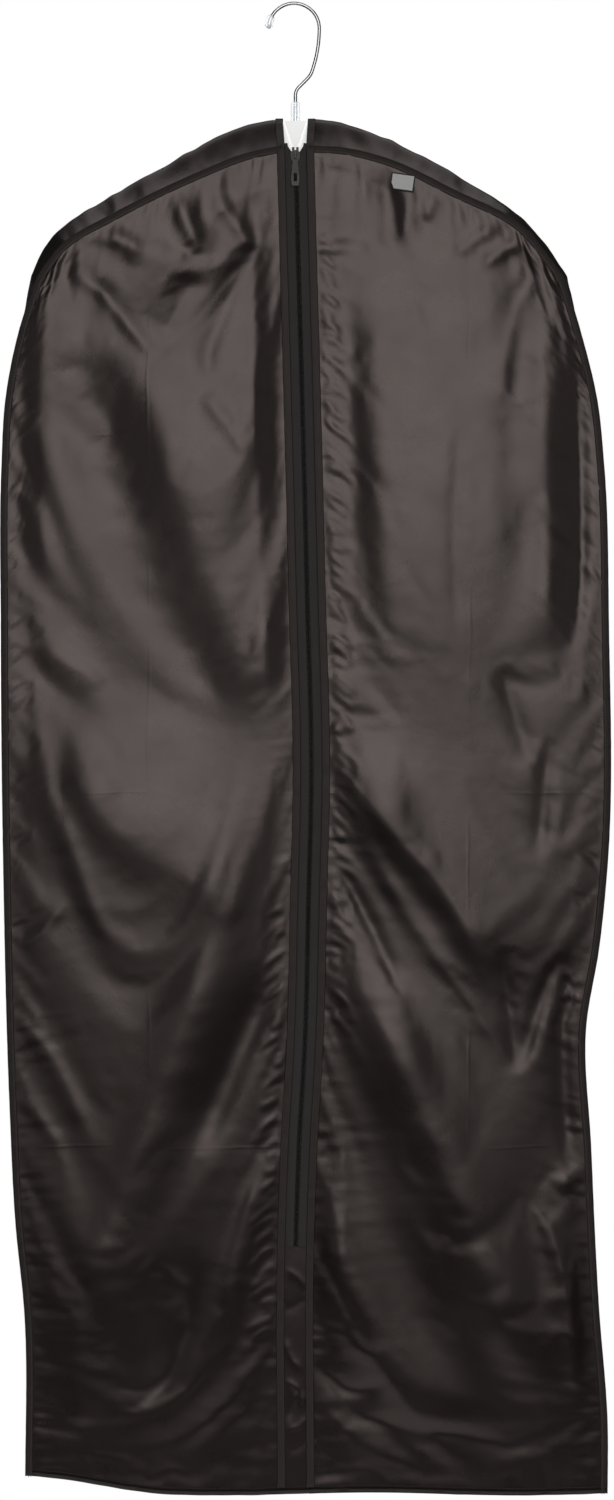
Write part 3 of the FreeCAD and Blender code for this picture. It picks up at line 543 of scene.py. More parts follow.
def panel_points(grid, standing_out, face):
    """Points of a panel in millimetres: the grid set out to its depth with its relief."""
    x, z = grid[..., 0], grid[..., 1]
    y = face * (standing_depth(x, z) + standing_out)
    return np.stack([x, y, z], axis=-1)


CLOTH_SETTINGS = dict(
    quality=6, mass=0.05, air_damping=2, shrink_min=0,
    tension_stiffness=60, compression_stiffness=60, shear_stiffness=20, bending_stiffness=0.4,
    tension_damping=10, compression_damping=10, shear_damping=10, bending_damping=0.1,
)


def settled(points, fullness, frames=30):
    """Lets a sheet hang under gravity from its four edges with Blender's Cloth, and gives its new points.

    Its slack is in its folds, and in `fullness`: the share by which the cloth is longer than its seams, at
    each point. It settles on every second row and column, and the points between follow."""
    coarse = points[::2, ::2]
    rows, columns = coarse.shape[:2]
    item = grid_object("settling_sheet", coarse)
    edge = np.ones((rows, columns), bool)
    edge[1:-1, 1:-1] = False
    held, full = item.vertex_groups.new(name="held"), item.vertex_groups.new(name="full")
    held.add(np.flatnonzero(edge).tolist(), 1.0, "REPLACE")
    most = fullness.max()
    for number, share in enumerate((fullness[::2, ::2] / most).ravel().tolist()):
        full.add([number], share, "REPLACE")
    cloth = item.modifiers.new("cloth", "CLOTH")
    settings = cloth.settings
    for setting, value in CLOTH_SETTINGS.items():
        setattr(settings, setting, value)
    settings.vertex_group_shrink = "full"
    settings.shrink_max = -most
    settings.vertex_group_mass = "held"
    settings.effector_weights.gravity = 0.25
    cloth.collision_settings.use_collision = False
    cloth.point_cache.frame_start, cloth.point_cache.frame_end = 1, frames
    scene = bpy.context.scene
    for frame_number in range(1, frames + 1):
        scene.frame_set(frame_number)
    shape = item.evaluated_get(bpy.context.evaluated_depsgraph_get()).data
    moved = np.empty(rows * columns * 3)
    shape.vertices.foreach_get("co", moved)
    shift = moved.reshape(rows, columns, 3) / MM - coarse
    scene.frame_set(1)
    bpy.data.objects.remove(item)
    return points + finer(shift, points.shape[:2])


def finer(field, shape):
    """A coarse grid's field carried to a finer grid by cubic curves along both ways."""
    for axis, count in enumerate(shape):
        field = np.moveaxis(field, axis, 0)
        at = np.linspace(0, len(field) - 1, count)
        low = np.clip(np.floor(at).astype(int), 0, len(field) - 2)
        f = (at - low).reshape(-1, *([1] * (field.ndim - 1)))
        a, b = field[np.maximum(low - 1, 0)], field[low]
        c, d = field[low + 1], field[np.minimum(low + 2, len(field) - 1)]
        field = 0.5 * (
            2 * b + (c - a) * f + (2 * a - 5 * b + 4 * c - d) * f**2 + (3 * b - a - 3 * c + d) * f**3
        )
        field = np.moveaxis(field, 0, axis)
    return field


LEAST_FULLNESS, TOP_FULLNESS, SIDE_FULLNESS = 0.0005, 0.02, 0.015
ZIP_FULLNESS = {LEFT: 0.012, RIGHT: 0.03}


def seam_fullness(grid, first):
    """How much longer the cloth is than the tapes and seams it is gathered onto; `first` is for its first
    column."""
    _, away_top, away_first, away_last = distances(grid)
    share = first * np.exp(-((away_first / 30) ** 2))
    share += TOP_FULLNESS * np.exp(-((away_top / 40) ** 2))
    share += SIDE_FULLNESS * np.exp(-((away_last / 30) ** 2))
    return share + LEAST_FULLNESS


front_points = {}
for hand in (LEFT, RIGHT):
    grid = inset_outline(hand)
    sculpted = panel_points(grid, front_relief(hand, grid), FRONT)
    front_points[hand] = settled(sculpted, seam_fullness(grid, ZIP_FULLNESS[hand]))
    front_points[hand][..., 1] -= BROAD_AFTER * broad_relief(hand, grid) * locked(grid, ZIP_REACH)


# ---- the back panel

BACK_FOLDS = [
    ([(-206, -240), (-130, -420), (-60, -640)], 8, 34, 48),
    ([(-244, -270), (-240, -480), (-252, -760)], -8, 14, 18),
    ([(214, -240), (150, -400), (30, -610)], 8.5, 48, 34),
    ([(250, -270), (244, -450), (254, -700)], -8, 16, 13),
    ([(0, -170), (-14, -400), (6, -760)], 7, 50, 40),
    ([(-170, -600), (-70, -800), (60, -980)], -11, 30, 34),
    ([(200, -620), (96, -850), (-50, -1080)], 9, 34, 48),
    ([(-236, -800), (-170, -1040), (-196, -1320)], 8.5, 30, 34),
    ([(-96, -1020), (-34, -1220), (-56, -1440)], -9, 24, 26),
    ([(244, -880), (186, -1110), (214, -1400)], 8.5, 34, 28),
    ([(56, -1080), (110, -1280), (92, -1450)], -8, 24, 22),
    ([(-120, -1180), (-130, -1320), (-150, -1450)], 6, 16, 18),
]


def back_grid():
    """The back panel's grid over both halves, its columns running from the left side to the right."""
    left, right = inset_outline(LEFT), inset_outline(RIGHT)
    for half in (left, right):
        half[..., 0] -= half[:, :1, 0] * (1 - closer_at_seams(np.linspace(0, 1, ACROSS))) ** 3
    return np.concatenate([left[:, :0:-1], right], axis=1)


back_flat = back_grid()
back_hills = (2.4, 101), (0.5, 102), (0.12, 103)
back_puckers = (111, 117, 123, 129), (0.7, 0.45, 0.45, 0.4)
back_relief = relief(back_flat, BACK_FOLDS, back_hills, SEAM_REACH, *back_puckers)
back_points = settled(panel_points(back_flat, back_relief, BACK), seam_fullness(back_flat, SIDE_FULLNESS))


# ---- the gussets

RIDGES = {
    # how high the ridge over the hanger runs, by distance from the middle
    LEFT: [(13, -112.5), (47, -117), (75, -130), (95, -142), (188, -193), (229, -217.5), (250, -240)],
    RIGHT: [(13, -112.5), (48, -117), (85, -132), (125, -149), (184, -184), (232, -217.5), (255, -244)],
}
SIDE_RISES = [(0, 14), (30, 11), (70, 6), (130, -3), (200, -18), (320, -29), (1600, -33)]
GUSSET_ACROSS = 25                   # columns of its grid
GUSSET_CUT = 76                      # width of its flat cloth


def seam_lines(hand):
    """The front and back seam, point for point, from the neck down to the bottom."""
    panel = front_points[hand]
    front = np.concatenate([panel[0], panel[1:, -1]])
    middle = back_points.shape[1] // 2
    if hand == RIGHT:
        top, side = back_points[0, middle:], back_points[1:, -1]
    else:
        top, side = back_points[0, middle::-1], back_points[1:, 0]
    beyond_neck = top[np.abs(top[:, 0]) >= NECK_HALF]
    neck = np.array([[hand * NECK_HALF, beyond_neck[0, 1], beyond_neck[0, 2]]])
    top = np.concatenate([neck, beyond_neck])
    along = length_along(top)
    wanted = length_along(panel[0])
    wanted *= along[-1] / wanted[-1]
    top = np.stack([np.interp(wanted, along, top[:, k]) for k in range(3)], axis=1)
    return front, np.concatenate([top, side])


def outward(line, hand):
    """The direction away from the bag in the XZ plane at each point of a seam, smoothed."""
    along_x, along_z = (smoothed(np.gradient(line[:, axis]), 25) for axis in (0, 2))
    return unit(np.stack([-along_z, along_x], axis=1) * hand)


def gusset_points(hand):
    """The folded gusset: ridged over the hanger's arm, and tucked in between the panels down the side."""
    front, back = seam_lines(hand)
    along = length_along(front)
    n = outward(front, hand)
    corner = np.argmax(np.abs(front[:, 0]) > RIDGES[hand][-1][0])
    ridge = np.interp(np.abs(front[:, 0]), *np.array(RIDGES[hand], float).T)
    rise = np.where(
        np.arange(len(front)) < corner,
        (ridge - front[:, 2]) * n[:, 1],
        np.interp(along - along[corner], *np.array(SIDE_RISES, float).T),
    )
    rise = smoothed(rise, 35)
    w = np.linspace(0, 1, GUSSET_ACROSS)[None, :]
    arch = 1 - np.sqrt((2 * w - 1) ** 2 + 0.012)
    arch = (arch - arch[:, :1]) / (arch.max() - arch[:, :1])
    sag = -2.5 * np.sin(math.pi * np.clip(2 * np.minimum(w, 1 - w), 0, 1)) * np.sign(rise)[:, None]
    ripple = 0.9 * wave_noise(along[:, None] + 34 * w, 7 + hand, 37) * np.abs(np.sin(2 * math.pi * w))
    edge = np.minimum(w, 1 - w) * GUSSET_CUT
    ripple = ripple + cascade(np.broadcast_to(along[:, None], ripple.shape), edge, 17 + hand, 0.7)
    out = rise[:, None] * arch + sag + ripple
    points = front[:, None] * (1 - w)[..., None] + back[:, None] * w[..., None]
    points[..., 0] += out * n[:, :1]
    points[..., 2] += out * n[:, 1:]
    return points


# ---- tapes swept along the seams

def tube_faces(rings, sides):
    """Quads of a tube of rings."""
    index = np.arange(rings * sides).reshape(rings, sides)
    a, b = index[:-1], index[1:]
    return np.stack([a, np.roll(a, -1, 1), np.roll(b, -1, 1), b], axis=-1).reshape(-1, 4)


def sweep(name, line, across, section):
    """A band swept along a line, its section a loop of (out, up) offsets with out along `across`. Gives the
    band, and the unit directions across it and up from it."""
    along = unit(np.gradient(line, axis=0))
    across = unit(across - (across * along).sum(1, keepdims=True) * along)
    up = np.cross(along, across)
    section = np.asarray(section)[None]
    points = line[:, None] + section[..., :1] * across[:, None] + section[..., 1:] * up[:, None]
    rows, columns = points.shape[:2]
    last = (rows - 1) * columns
    ends = [tuple(range(columns))[::-1], tuple(range(last, last + columns))]
    faces = [tuple(quad) for quad in tube_faces(rows, columns)] + ends
    return mesh_object(name, points.reshape(-1, 3), faces), across, up


def band_section(inner, outer, thick, sides=4):
    """A rounded flat loop from inner to outer, `thick` through."""
    half = thick / 2
    angles = np.linspace(-math.pi / 2, math.pi / 2, sides)
    right = [(outer - half + half * math.cos(a), half * math.sin(a)) for a in angles]
    left = [(inner + half - half * math.cos(a), -half * math.sin(a)) for a in angles]
    return right + left


STITCH_PITCH, STITCH_LENGTH, STITCH_RADIUS = 3.0, 2.1, 0.32
# a low ridged bead: its corners in half lengths along, and in radii across and up
STITCH_CORNERS = np.array([
    (-1, 0, -0.6), (-0.6, 1, 0.4), (-0.6, -1, 0.4), (0.6, 1, 0.4), (0.6, -1, 0.4), (1, 0, -0.6), (0, 0, 1),
])
STITCH_FACES = np.array([(0, 1, 6), (0, 6, 2), (1, 3, 6), (2, 6, 4), (3, 5, 6), (4, 6, 5)])


def stitches(line, across, up, offset, lift):
    """Points and faces of a row of small stitches beside a line."""
    line, _ = resampled(np.concatenate([line, across, up], axis=1), STITCH_PITCH)
    across, up = unit(line[:, 3:6]), unit(line[:, 6:9])
    along = np.cross(across, up)
    centre = line[:, :3] + offset * across + lift * up
    corners = STITCH_CORNERS * (STITCH_LENGTH / 2, STITCH_RADIUS, STITCH_RADIUS)
    shape = np.stack([centre + a * along + b * across + c * up for a, b, c in corners], axis=1)
    indices = STITCH_FACES[None] + len(corners) * np.arange(len(centre))[:, None, None]
    return shape.reshape(-1, 3), indices.reshape(-1, 3)


def joined(name, parts):
    """One object from many meshes, each given as its points and faces."""
    starts = np.cumsum([0] + [len(points) for points, _ in parts])
    faces = [part_faces + start for (_, part_faces), start in zip(parts, starts)]
    return mesh_object(name, np.concatenate([points for points, _ in parts]), np.concatenate(faces))


# ---- materials

def new_node(tree, kind, inputs, **settings):
    """A new shader node; each input is a number, a colour, or the output of another node."""
    node = tree.nodes.new("ShaderNode" + kind)
    for setting, value in settings.items():
        setattr(node, setting, value)
    for socket, value in inputs.items():
        if isinstance(value, bpy.types.NodeSocket):
            tree.links.new(value, node.inputs[socket])
        else:
            node.inputs[socket].default_value = value
    return node


def new_material(name, values=()):
    """A material, its Principled shader with some sockets set, and the object's own coordinates."""
    material = bpy.data.materials.new(name)
    material.use_nodes = True
    tree = material.node_tree
    shader = tree.nodes["Principled BSDF"]
    for socket, value in dict(values).items():
        shader.inputs[socket].default_value = value
    return material, shader, new_node(tree, "TexCoord", {}).outputs["Object"]


def turned(vector, turn):
    """Coordinates turned about the origin."""
    return new_node(vector.id_data, "Mapping", {"Vector": vector, "Rotation": turn}).outputs["Vector"]


def noise(vector, scale, detail=3.0, distortion=0.0):
    """A noise texture's value."""
    look = {"Scale": scale, "Detail": detail, "Roughness": 0.55, "Distortion": distortion}
    return new_node(vector.id_data, "TexNoise", {"Vector": vector, **look}).outputs["Fac"]


def waves(vector, scale, direction="X"):
    """Even bands along one axis."""
    inputs = {"Vector": vector, "Scale": scale, "Distortion": 0.0, "Detail": 1.0}
    return new_node(vector.id_data, "TexWave", inputs, bands_direction=direction).outputs["Fac"]


def ranged(value, low, high, out_low, out_high):
    """A value carried from one range to another."""
    inputs = {"Value": value, "From Min": low, "From Max": high, "To Min": out_low, "To Max": out_high}
    return new_node(value.id_data, "MapRange", inputs).outputs["Result"]


def combined(operation, a, b):
    """Two values joined by a maths operation; b may be a number."""
    return new_node(a.id_data, "Math", {0: a, 1: b}, operation=operation).outputs[0]


def painted(shader, value, dark, light, socket="Base Color"):
    """Gives a shader a colour between two, by a value from 0 to 1."""
    ramp = new_node(value.id_data, "ValToRGB", {"Fac": value})
    for element, colour in zip(ramp.color_ramp.elements, (dark, light)):
        element.color = (*colour, 1)
    shader.id_data.links.new(ramp.outputs["Color"], shader.inputs[socket])


def roughened(shader, value, low, high):
    """Gives a shader a roughness between two, as a noise goes from 0.3 to 0.7."""
    shader.id_data.links.new(ranged(value, 0.3, 0.7, low, high), shader.inputs["Roughness"])


def bumped(shader, height, distance, strength):
    """Lays a bump of that height in metres over a shader's normal and the bumps it has."""
    normal = shader.inputs["Normal"]
    inputs = {"Height": height, "Distance": distance, "Strength": strength}
    if normal.is_linked:
        inputs["Normal"] = normal.links[0].from_socket
    bump = new_node(shader.id_data, "Bump", inputs)
    shader.id_data.links.new(bump.outputs["Normal"], normal)


def grained(name, scale, detail, colours, roughness, values=(), bump=None):
    """A material whose colour, roughness and bump, if it has one, follow one noise."""
    material, shader, place = new_material(name, values)
    grain = noise(place, scale, detail)
    painted(shader, grain, *colours)
    roughened(shader, grain, *roughness)
    if bump:
        bumped(shader, grain, *bump)
    return material, shader, place, grain


def woven_height(place, threads_per_metre):
    """A plain weave: two sets of even threads."""
    scale = threads_per_metre * 2 * math.pi / 20
    return combined("MULTIPLY", waves(place, scale, "X"), waves(place, scale, "Z"))


def storage_creases(place):
    """Faint sharp lines where the bag was folded flat: across it at three heights, and twice down it."""
    waver = ranged(noise(place, 7.0, 2.0), 0, 1, -0.006, 0.006)
    wavy = new_node(place.id_data, "VectorMath", {0: place, 1: waver}, operation="ADD")
    split = new_node(place.id_data, "SeparateXYZ", {0: wavy.outputs[0]})
    patchy = ranged(noise(place, 9.0, 2.0), 0.46, 0.62, 0.0, 1.0)
    total = None
    for axis, crease in (("Z", -0.432), ("Z", -0.787), ("Z", -1.14), ("X", 0.172), ("X", -0.146)):
        gap = combined("ABSOLUTE", combined("SUBTRACT", split.outputs[axis], crease), 0.0)
        line = combined("MULTIPLY", ranged(gap, 0.0, 0.0022, 1.0, 0.0), patchy)
        total = line if total is None else combined("MAXIMUM", total, line)
    return total


def nylon_material():
    """Thin dark taffeta: a satin gloss, a fine weave and small crisp creases."""
    sheen = {"Specular IOR Level": 0.75, "Specular Tint": (1.0, 0.83, 0.78, 1)}
    material, shader, place = new_material("nylon_taffeta", sheen)
    shade = ranged(noise(place, 5.0, 4.0), 0.3, 0.7, 0.0, 1.0)
    painted(shader, shade, (0.0105, 0.0080, 0.0074), (0.0150, 0.0118, 0.0110))
    roughened(shader, noise(place, 22.0), 0.26, 0.32)
    bumped(shader, noise(place, 60.0, 2.5, 0.3), 0.0005, 0.35)
    bumped(shader, storage_creases(place), 0.0005, 0.2)
    bumped(shader, woven_height(place, 2600), 0.00003, 0.4)
    return material


def binding_material():
    """Bias tape: a ribbed weave a little duller than the cloth."""
    colours = (0.018, 0.0145, 0.0135), (0.036, 0.0292, 0.0275)
    tint = {"Specular Tint": (1.0, 0.85, 0.8, 1)}
    material, shader, place, _ = grained("bias_tape", 40.0, 3.0, colours, (0.46, 0.56), tint)
    bumped(shader, noise(place, 260.0, 2.0), 0.0004, 0.5)
    bumped(shader, woven_height(place, 1500), 0.00012, 0.6)
    return material


def thread_material():
    """Dark polyester thread, a little lighter than the tape."""
    material, shader, place = new_material("sewing_thread")
    twist = waves(turned(place, (0, 0.7, 0.4)), 900.0)
    painted(shader, twist, (0.030, 0.026, 0.024), (0.058, 0.051, 0.047))
    roughened(shader, noise(place, 300.0), 0.35, 0.5)
    return material


def tape_material():
    """Woven zip tape with a herringbone rib."""
    colours = (0.044, 0.0385, 0.0368), (0.070, 0.0620, 0.0595)
    material, shader, place, _ = grained("zip_tape_weave", 60.0, 3.0, colours, (0.55, 0.7))
    bumped(shader, waves(turned(place, (0, 0.6, 0)), 620.0), 0.00018, 0.7)
    return material


def enamel_material():
    """Black enamel on cast zinc, worn a little on the edges."""
    material, shader, place = new_material("black_enamel", {"Specular IOR Level": 0.3})
    grain = noise(place, 240.0, 4.0)
    edge = new_node(material.node_tree, "NewGeometry", {}).outputs["Pointiness"]
    wear = combined("MULTIPLY", ranged(edge, 0.53, 0.6, 0.0, 1.0), grain)
    painted(shader, wear, (0.010, 0.0095, 0.009), (0.10, 0.095, 0.09))
    roughened(shader, grain, 0.2, 0.3)
    bumped(shader, grain, 0.00008, 0.5)
    return material


def hanger_material():
    """White moulded plastic with a faint flow texture, and a painted glow: it gives off light of its own,
    though it is no lamp, so it reads brighter white.
    """
    colours = (0.93, 0.93, 0.92), (0.97, 0.97, 0.96)
    # painted glow: the plastic emits light, though it is no lamp
    painted_glow = {"Emission Strength": 0.5}
    material, shader, place, flow = grained("white_plastic", 35.0, 4.0, colours, (0.28, 0.4), painted_glow)
    # the painted glow takes the plastic's colours and follows the same flow texture
    painted(shader, flow, *colours, "Emission Color")
    bumped(shader, noise(place, 500.0), 0.00005, 0.4)
    return material


LABEL_TILT = math.radians(8)
LABEL_BORDER = 0.0012                # the dark edge round the label's face, in metres


def label_material():
    """Silver damask with a dark woven border, and no mark on it."""
    material, shader, place = new_material("plain_label", {"Metallic": 0.1})
    tree = material.node_tree
    low, high = box_mm("woven_label")
    lie = {"Location": (low + high) / 2 * MM, "Rotation": (0, LABEL_TILT, 0)}
    upright = new_node(tree, "Mapping", {"Vector": place, **lie}, vector_type="TEXTURE").outputs["Vector"]
    split = new_node(tree, "SeparateXYZ", {0: upright})
    inside = None
    for axis, half in zip("XZ", label_halves(high - low)):
        edge = half * MM - LABEL_BORDER
        away = combined("ABSOLUTE", split.outputs[axis], 0.0)
        within = ranged(away, edge - 0.0002, edge, 1.0, 0.0)
        inside = within if inside is None else combined("MULTIPLY", inside, within)
    rib = waves(upright, 760.0, "Z")
    shade = combined("MULTIPLY", inside, ranged(rib, 0.0, 1.0, 0.72, 1.0))
    painted(shader, shade, (0.02, 0.019, 0.018), (0.88, 0.88, 0.87))
    roughened(shader, noise(place, 200.0), 0.42, 0.55)
    bumped(shader, rib, 0.0001, 0.6)
    return material


def label_halves(across):
    """Half the label's width and height, from the box round it as it lies tilted."""
    c, s = math.cos(LABEL_TILT), math.sin(LABEL_TILT)
    width = (across[0] * c - across[2] * s) / (c * c - s * s)
    height = (across[2] * c - across[0] * s) / (c * c - s * s)
    return width / 2, height / 2


NYLON = nylon_material()
TAPE = binding_material()
THREAD = thread_material()
ZIP_TAPE = tape_material()
ENAMEL = enamel_material()
WHITE = hanger_material()
# black nylon filament, bright plating, and clear soft plastic that is a little cloudy
COIL = grained("nylon_coil", 400.0, 3.0, ((0.010, 0.010, 0.010), (0.020, 0.019, 0.019)), (0.22, 0.34))[0]
CHROME = grained(
    "bright_chrome", 160.0, 4.0, ((0.60, 0.61, 0.63), (0.74, 0.75, 0.76)), (0.08, 0.17),
    {"Metallic": 1.0}, (0.00003, 0.4),
)[0]
CLEAR = grained(
    "clear_plastic", 120.0, 3.0, ((0.90, 0.92, 0.94), (0.97, 0.98, 0.99)), (0.10, 0.22),
    {"IOR": 1.46, "Transmission Weight": 0.9}, (0.0002, 0.4),
)[0]


def finish_piece(item, material, body="bag", stands_for=()):
    """Gives a piece its material and its body, and hides the CAD nodes it stands for."""
    item.data.materials.clear()
    item.data.materials.append(material)
    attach(item, body)
    if stands_for:
        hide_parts(*stands_for)
    return item


# ---- making the cloth

SLACK_SHARE = 0.98                   # the sheet's area next to its area with every fold in it


def hung_cloth(node, points, width, flip=False):
    """A panel hung from the hanger: a sheet of the cloth."""
    panel = grid_object(node + "_cloth", points, flip)
    finish_piece(panel, NYLON, stands_for=[node])
    height = NECK_Z - BOTTOM_Z
    min(sheet_area(points) * SLACK_SHARE, width * height * MM * MM)


def make_cloth():
    """Panels and gussets, each a sheet hung from the hanger."""
    for hand, side in SIDES:
        hung_cloth(f"front_panel_{side}", front_points[hand], HALF_WIDTH, flip=hand == LEFT)
        gusset = grid_object(f"gusset_{side}_cloth", gusset_points(hand), flip=hand == RIGHT)
        finish_piece(gusset, NYLON, stands_for=[f"gusset_{side}"])
        length = length_along(seam_lines(hand)[0])[-1] * MM
    hung_cloth("back_panel", back_points, 2 * HALF_WIDTH)


make_cloth()


# ---- seam bindings

stitch_rows = []
RING_STEP = 4.0                      # along a binding, in mm, like the rest here
SEAM_TAPE = (-1.5, SEAM_INSET, 1.7)  # from and to across the seam, and thickness
SEAM_GROOVE = (2.7, 4.9, 0.1)        # from and to across the seam, and half the thickness left
PLACKET_THICK = 1.5
BOTTOM_TAPE = (-5.0, 5.0, 2 * DEPTH_BOTTOM + 3.2)
# offsets of the rows of stitches across each tape, and how far they lie from its middle
SEAM_STITCHES = (0.2, 2.5), 0.85
PLACKET_STITCHES = (-2.7, 2.7), 0.78
BOTTOM_STITCHES = (-2.9, 3.1), DEPTH_BOTTOM + 1.5


def grooved(section, start, end, left):
    """A band's section with a groove on both its sides: the dark line between the piping and the edge."""
    half = max(up for _, up in section)
    right, inner = section[: len(section) // 2], section[len(section) // 2 :]
    groove = [(end, half), (end - 0.3, left), (start + 0.3, left), (start, half)]
    back = [(out, -up) for out, up in groove[::-1]]
    return right + groove + inner + back


def bound_tape(name, line, across, section, stands_for):
    """A binding swept along a line; gives the directions across it and up from it."""
    item, across, up = sweep(name + "_tape", line, across, section)
    finish_piece(item, TAPE, stands_for=stands_for)
    return across, up


def sew(line, across, up, offsets, lift):
    """Adds a row of stitches at each offset across a binding."""
    for offset in offsets:
        stitch_rows.append(stitches(line, across, up, offset, lift))


def make_seam_bindings():
    """The bound flange along each seam, with its two rows of stitches."""
    section = grooved(band_section(*SEAM_TAPE), *SEAM_GROOVE)
    for hand, side in SIDES:
        for (face, face_name), line in zip(FACES, seam_lines(hand)):
            line, _ = resampled(line, RING_STEP)
            out = outward(line, hand)
            across = np.stack([out[:, 0], np.full(len(out), 0.12 * face), out[:, 1]], axis=1)
            line[:, 1] += 0.5 * wave_noise(np.arange(len(line)) * RING_STEP, 200 + hand + 3 * face, 19)
            name = f"{face_name}_seam_binding_{side}"
            across, up = bound_tape(name, line, across, section, [name])
            sew(line, across, up * np.sign((up[:, 1] * face).mean()), *SEAM_STITCHES)


make_seam_bindings()


def placket_line(hand):
    """The placket binding's centre line: up the zip's side, over the ridge at the neck, and down the back."""
    z = np.linspace(BOTTOM_Z + 8, NECK_Z - 2, 300)
    x = zip_x(z) + hand * (BINDING_INNER + BINDING_OUTER) / 2
    front = np.stack([x, -(half_depth(z) + 1.6), z], axis=1)
    # over the ridge: the share of the depth, the lean towards the zip, and the height
    ridge = [
        (-0.62, 1.0, NECK_Z + 13), (-0.16, 0, RIDGE_Z - 2.5), (0, 0, RIDGE_Z + 0.8),
        (0.16, 0, RIDGE_Z - 2.5), (0.62, 0, NECK_Z + 13),
    ]
    edge = NECK_HALF + 3.2
    over = [front[-1]] + [(hand * (edge - lean), DEPTH_TOP * share, height) for share, lean, height in ridge]
    over.append((hand * edge, DEPTH_TOP - 0.5, NECK_Z + 1))
    return np.concatenate([front, spline(over, np.linspace(0, 1, 40))[1:]])


def make_placket():
    """The bound edges beside the zip."""
    half = (BINDING_OUTER - BINDING_INNER) / 2
    section = band_section(-half, half, PLACKET_THICK)
    for hand, side in SIDES:
        line, at = resampled(placket_line(hand), RING_STEP)
        across = np.tile([1.0, 0.0, 0.0], (len(line), 1))
        wobble = 0.35 * wave_noise(at, 300 + hand, 23)
        line = line + np.stack([0.3 * wobble, wobble, 0 * at], axis=1)
        nodes = [f"placket_binding_{side}", f"neck_binding_{side}"]
        across, up = bound_tape(nodes[0], line, across, section, nodes)
        sew(line, across, up * -np.sign(up[10, 1]), *PLACKET_STITCHES)


make_placket()


def make_bottom_binding():
    """The tape folded round the bottom edge."""
    x = np.linspace(side_x(LEFT, BOTTOM_Z) + 1, side_x(RIGHT, BOTTOM_Z) - 1, 160)
    z = bottom_z(x) + 4
    wobble = 0.6 * wave_noise(x, 410, 41)
    line = np.stack([x, wobble, z], axis=1)
    across = np.tile([0.0, 0.0, 1.0], (len(x), 1))
    section = band_section(*BOTTOM_TAPE, sides=6)
    across, up = bound_tape("bottom_binding", line, across, section, ["bottom_binding"])
    for facing in (-1, 1):
        sew(line, across, up * facing * np.sign(up[10, 1]), *BOTTOM_STITCHES)


make_bottom_binding()
finish_piece(joined("seam_stitches", stitch_rows), THREAD)


# ---- zip

COIL_HALF = 2.3
TOOTH_PITCH = 1.3
TAPE_EDGE = 15                       # the tape's outer edge, under the placket binding
TAPE_PARTING, PARTING_DROP = 6.5, 14          # how far the tapes part at the neck, and over what height
FILAMENT = 0.42                      # the coil's radius
LOOPS_AHEAD = 0.7                    # how far the loops stand in front of the panels' line


def make_zip_tapes():
    """The woven tapes, which part at the top to meet the neck."""
    w = np.linspace(0, 1, 9)[None, :]
    bulge = np.sin(math.pi * w)
    for hand, side in SIDES:
        z = np.linspace(NECK_Z + 3, ZIP_END_Z, 330)[:, None]
        inner = COIL_HALF - 0.8 + TAPE_PARTING * smooth((z - (NECK_Z - 12)) / PARTING_DROP) ** 1.2
        x = zip_x(z) + hand * (inner + (TAPE_EDGE - inner) * w)
        y = 0.25 * wave_noise(z, 500 + hand, 37) * bulge - (half_depth(z) + 0.2 - 1.2 * bulge)
        tape = grid_object(f"zip_tape_{side}_weave", np.stack([x, y, z + 0 * w], axis=-1), flip=hand == RIGHT)
        finish_piece(tape, ZIP_TAPE, stands_for=[f"zip_tape_{side}"])


INFILL_HALF = 14.5
INFILL_CREASES = [
    # (line of (x, z) points, height, reach)
    ([(-12, -1262), (2, -1270), (13, -1284)], 0.7, 4),
    ([(-13, -1305), (0, -1300), (12, -1290)], -0.5, 5),
    ([(-10, -1330), (-4, -1352), (8, -1366)], 0.9, 4),
    ([(-12, -1372), (3, -1384), (9, -1402)], 1.2, 4.5),
    ([(10, -1380), (-2, -1396), (-8, -1418)], -1.0, 4),
    ([(-11, -1424), (4, -1420), (13, -1408)], 0.8, 3.5),
    ([(-8, -1446), (5, -1440), (12, -1430)], -0.6, 4),
]


def make_infill():
    """The closed strip under the zip, with the small uneven creases of its tack."""
    w = np.linspace(-1, 1, 19)[None, :]
    z = np.linspace(ZIP_END_Z + 4, BOTTOM_Z + 6, 120)[:, None] + 0 * w
    across = INFILL_HALF * w + 0 * z
    crease = 0.25 * lattice_noise(across, z, 520, 21)
    for points, height, reach in INFILL_CREASES:
        crease += fold(across, z, points, height, reach, reach)
    y = -(half_depth(z) + 0.3 + crease * (1 - w**4))
    strip = grid_object("lower_infill_strip_cloth", np.stack([across + zip_x(z), y, z], axis=-1), flip=True)
    finish_piece(strip, NYLON, stands_for=["lower_infill_strip"])


def make_coils():
    """The two rows of interlocking loops: each a bent filament that hooks over the centre line."""
    rings, sides = 6, 6
    angles = np.linspace(0, 2 * math.pi, sides, endpoint=False)
    ring = FILAMENT * np.stack([0 * angles, 0.9 * np.cos(angles), 0.95 * np.sin(angles)], axis=1)
    t = np.linspace(0, 1, rings)
    front = 0.95 * np.sin(math.pi * (0.15 + 0.75 * t))
    for hand, side in SIDES:
        out = hand * (COIL_HALF * (1 - t) - 0.45 * t)
        centre = np.stack([out, -front, 0.35 * (t - 0.5)], axis=1)
        loop = (centre[:, None] + ring[None]).reshape(-1, 3)
        start = ZIP_TOP_Z - 1.5 - (0.5 * TOOTH_PITCH if hand == RIGHT else 0)
        z = np.arange(start, ZIP_END_Z + 6, -TOOTH_PITCH)
        places = np.stack([zip_x(z), -(half_depth(z) + LOOPS_AHEAD), z], axis=1)
        parts = [(loop + place, tube_faces(rings, sides)) for place in places]
        node = f"zip_coil_{side}"
        finish_piece(joined(node + "_loops", parts), COIL, stands_for=[node])


make_zip_tapes()
make_infill()
make_coils()


# ---- CAD pieces that stay

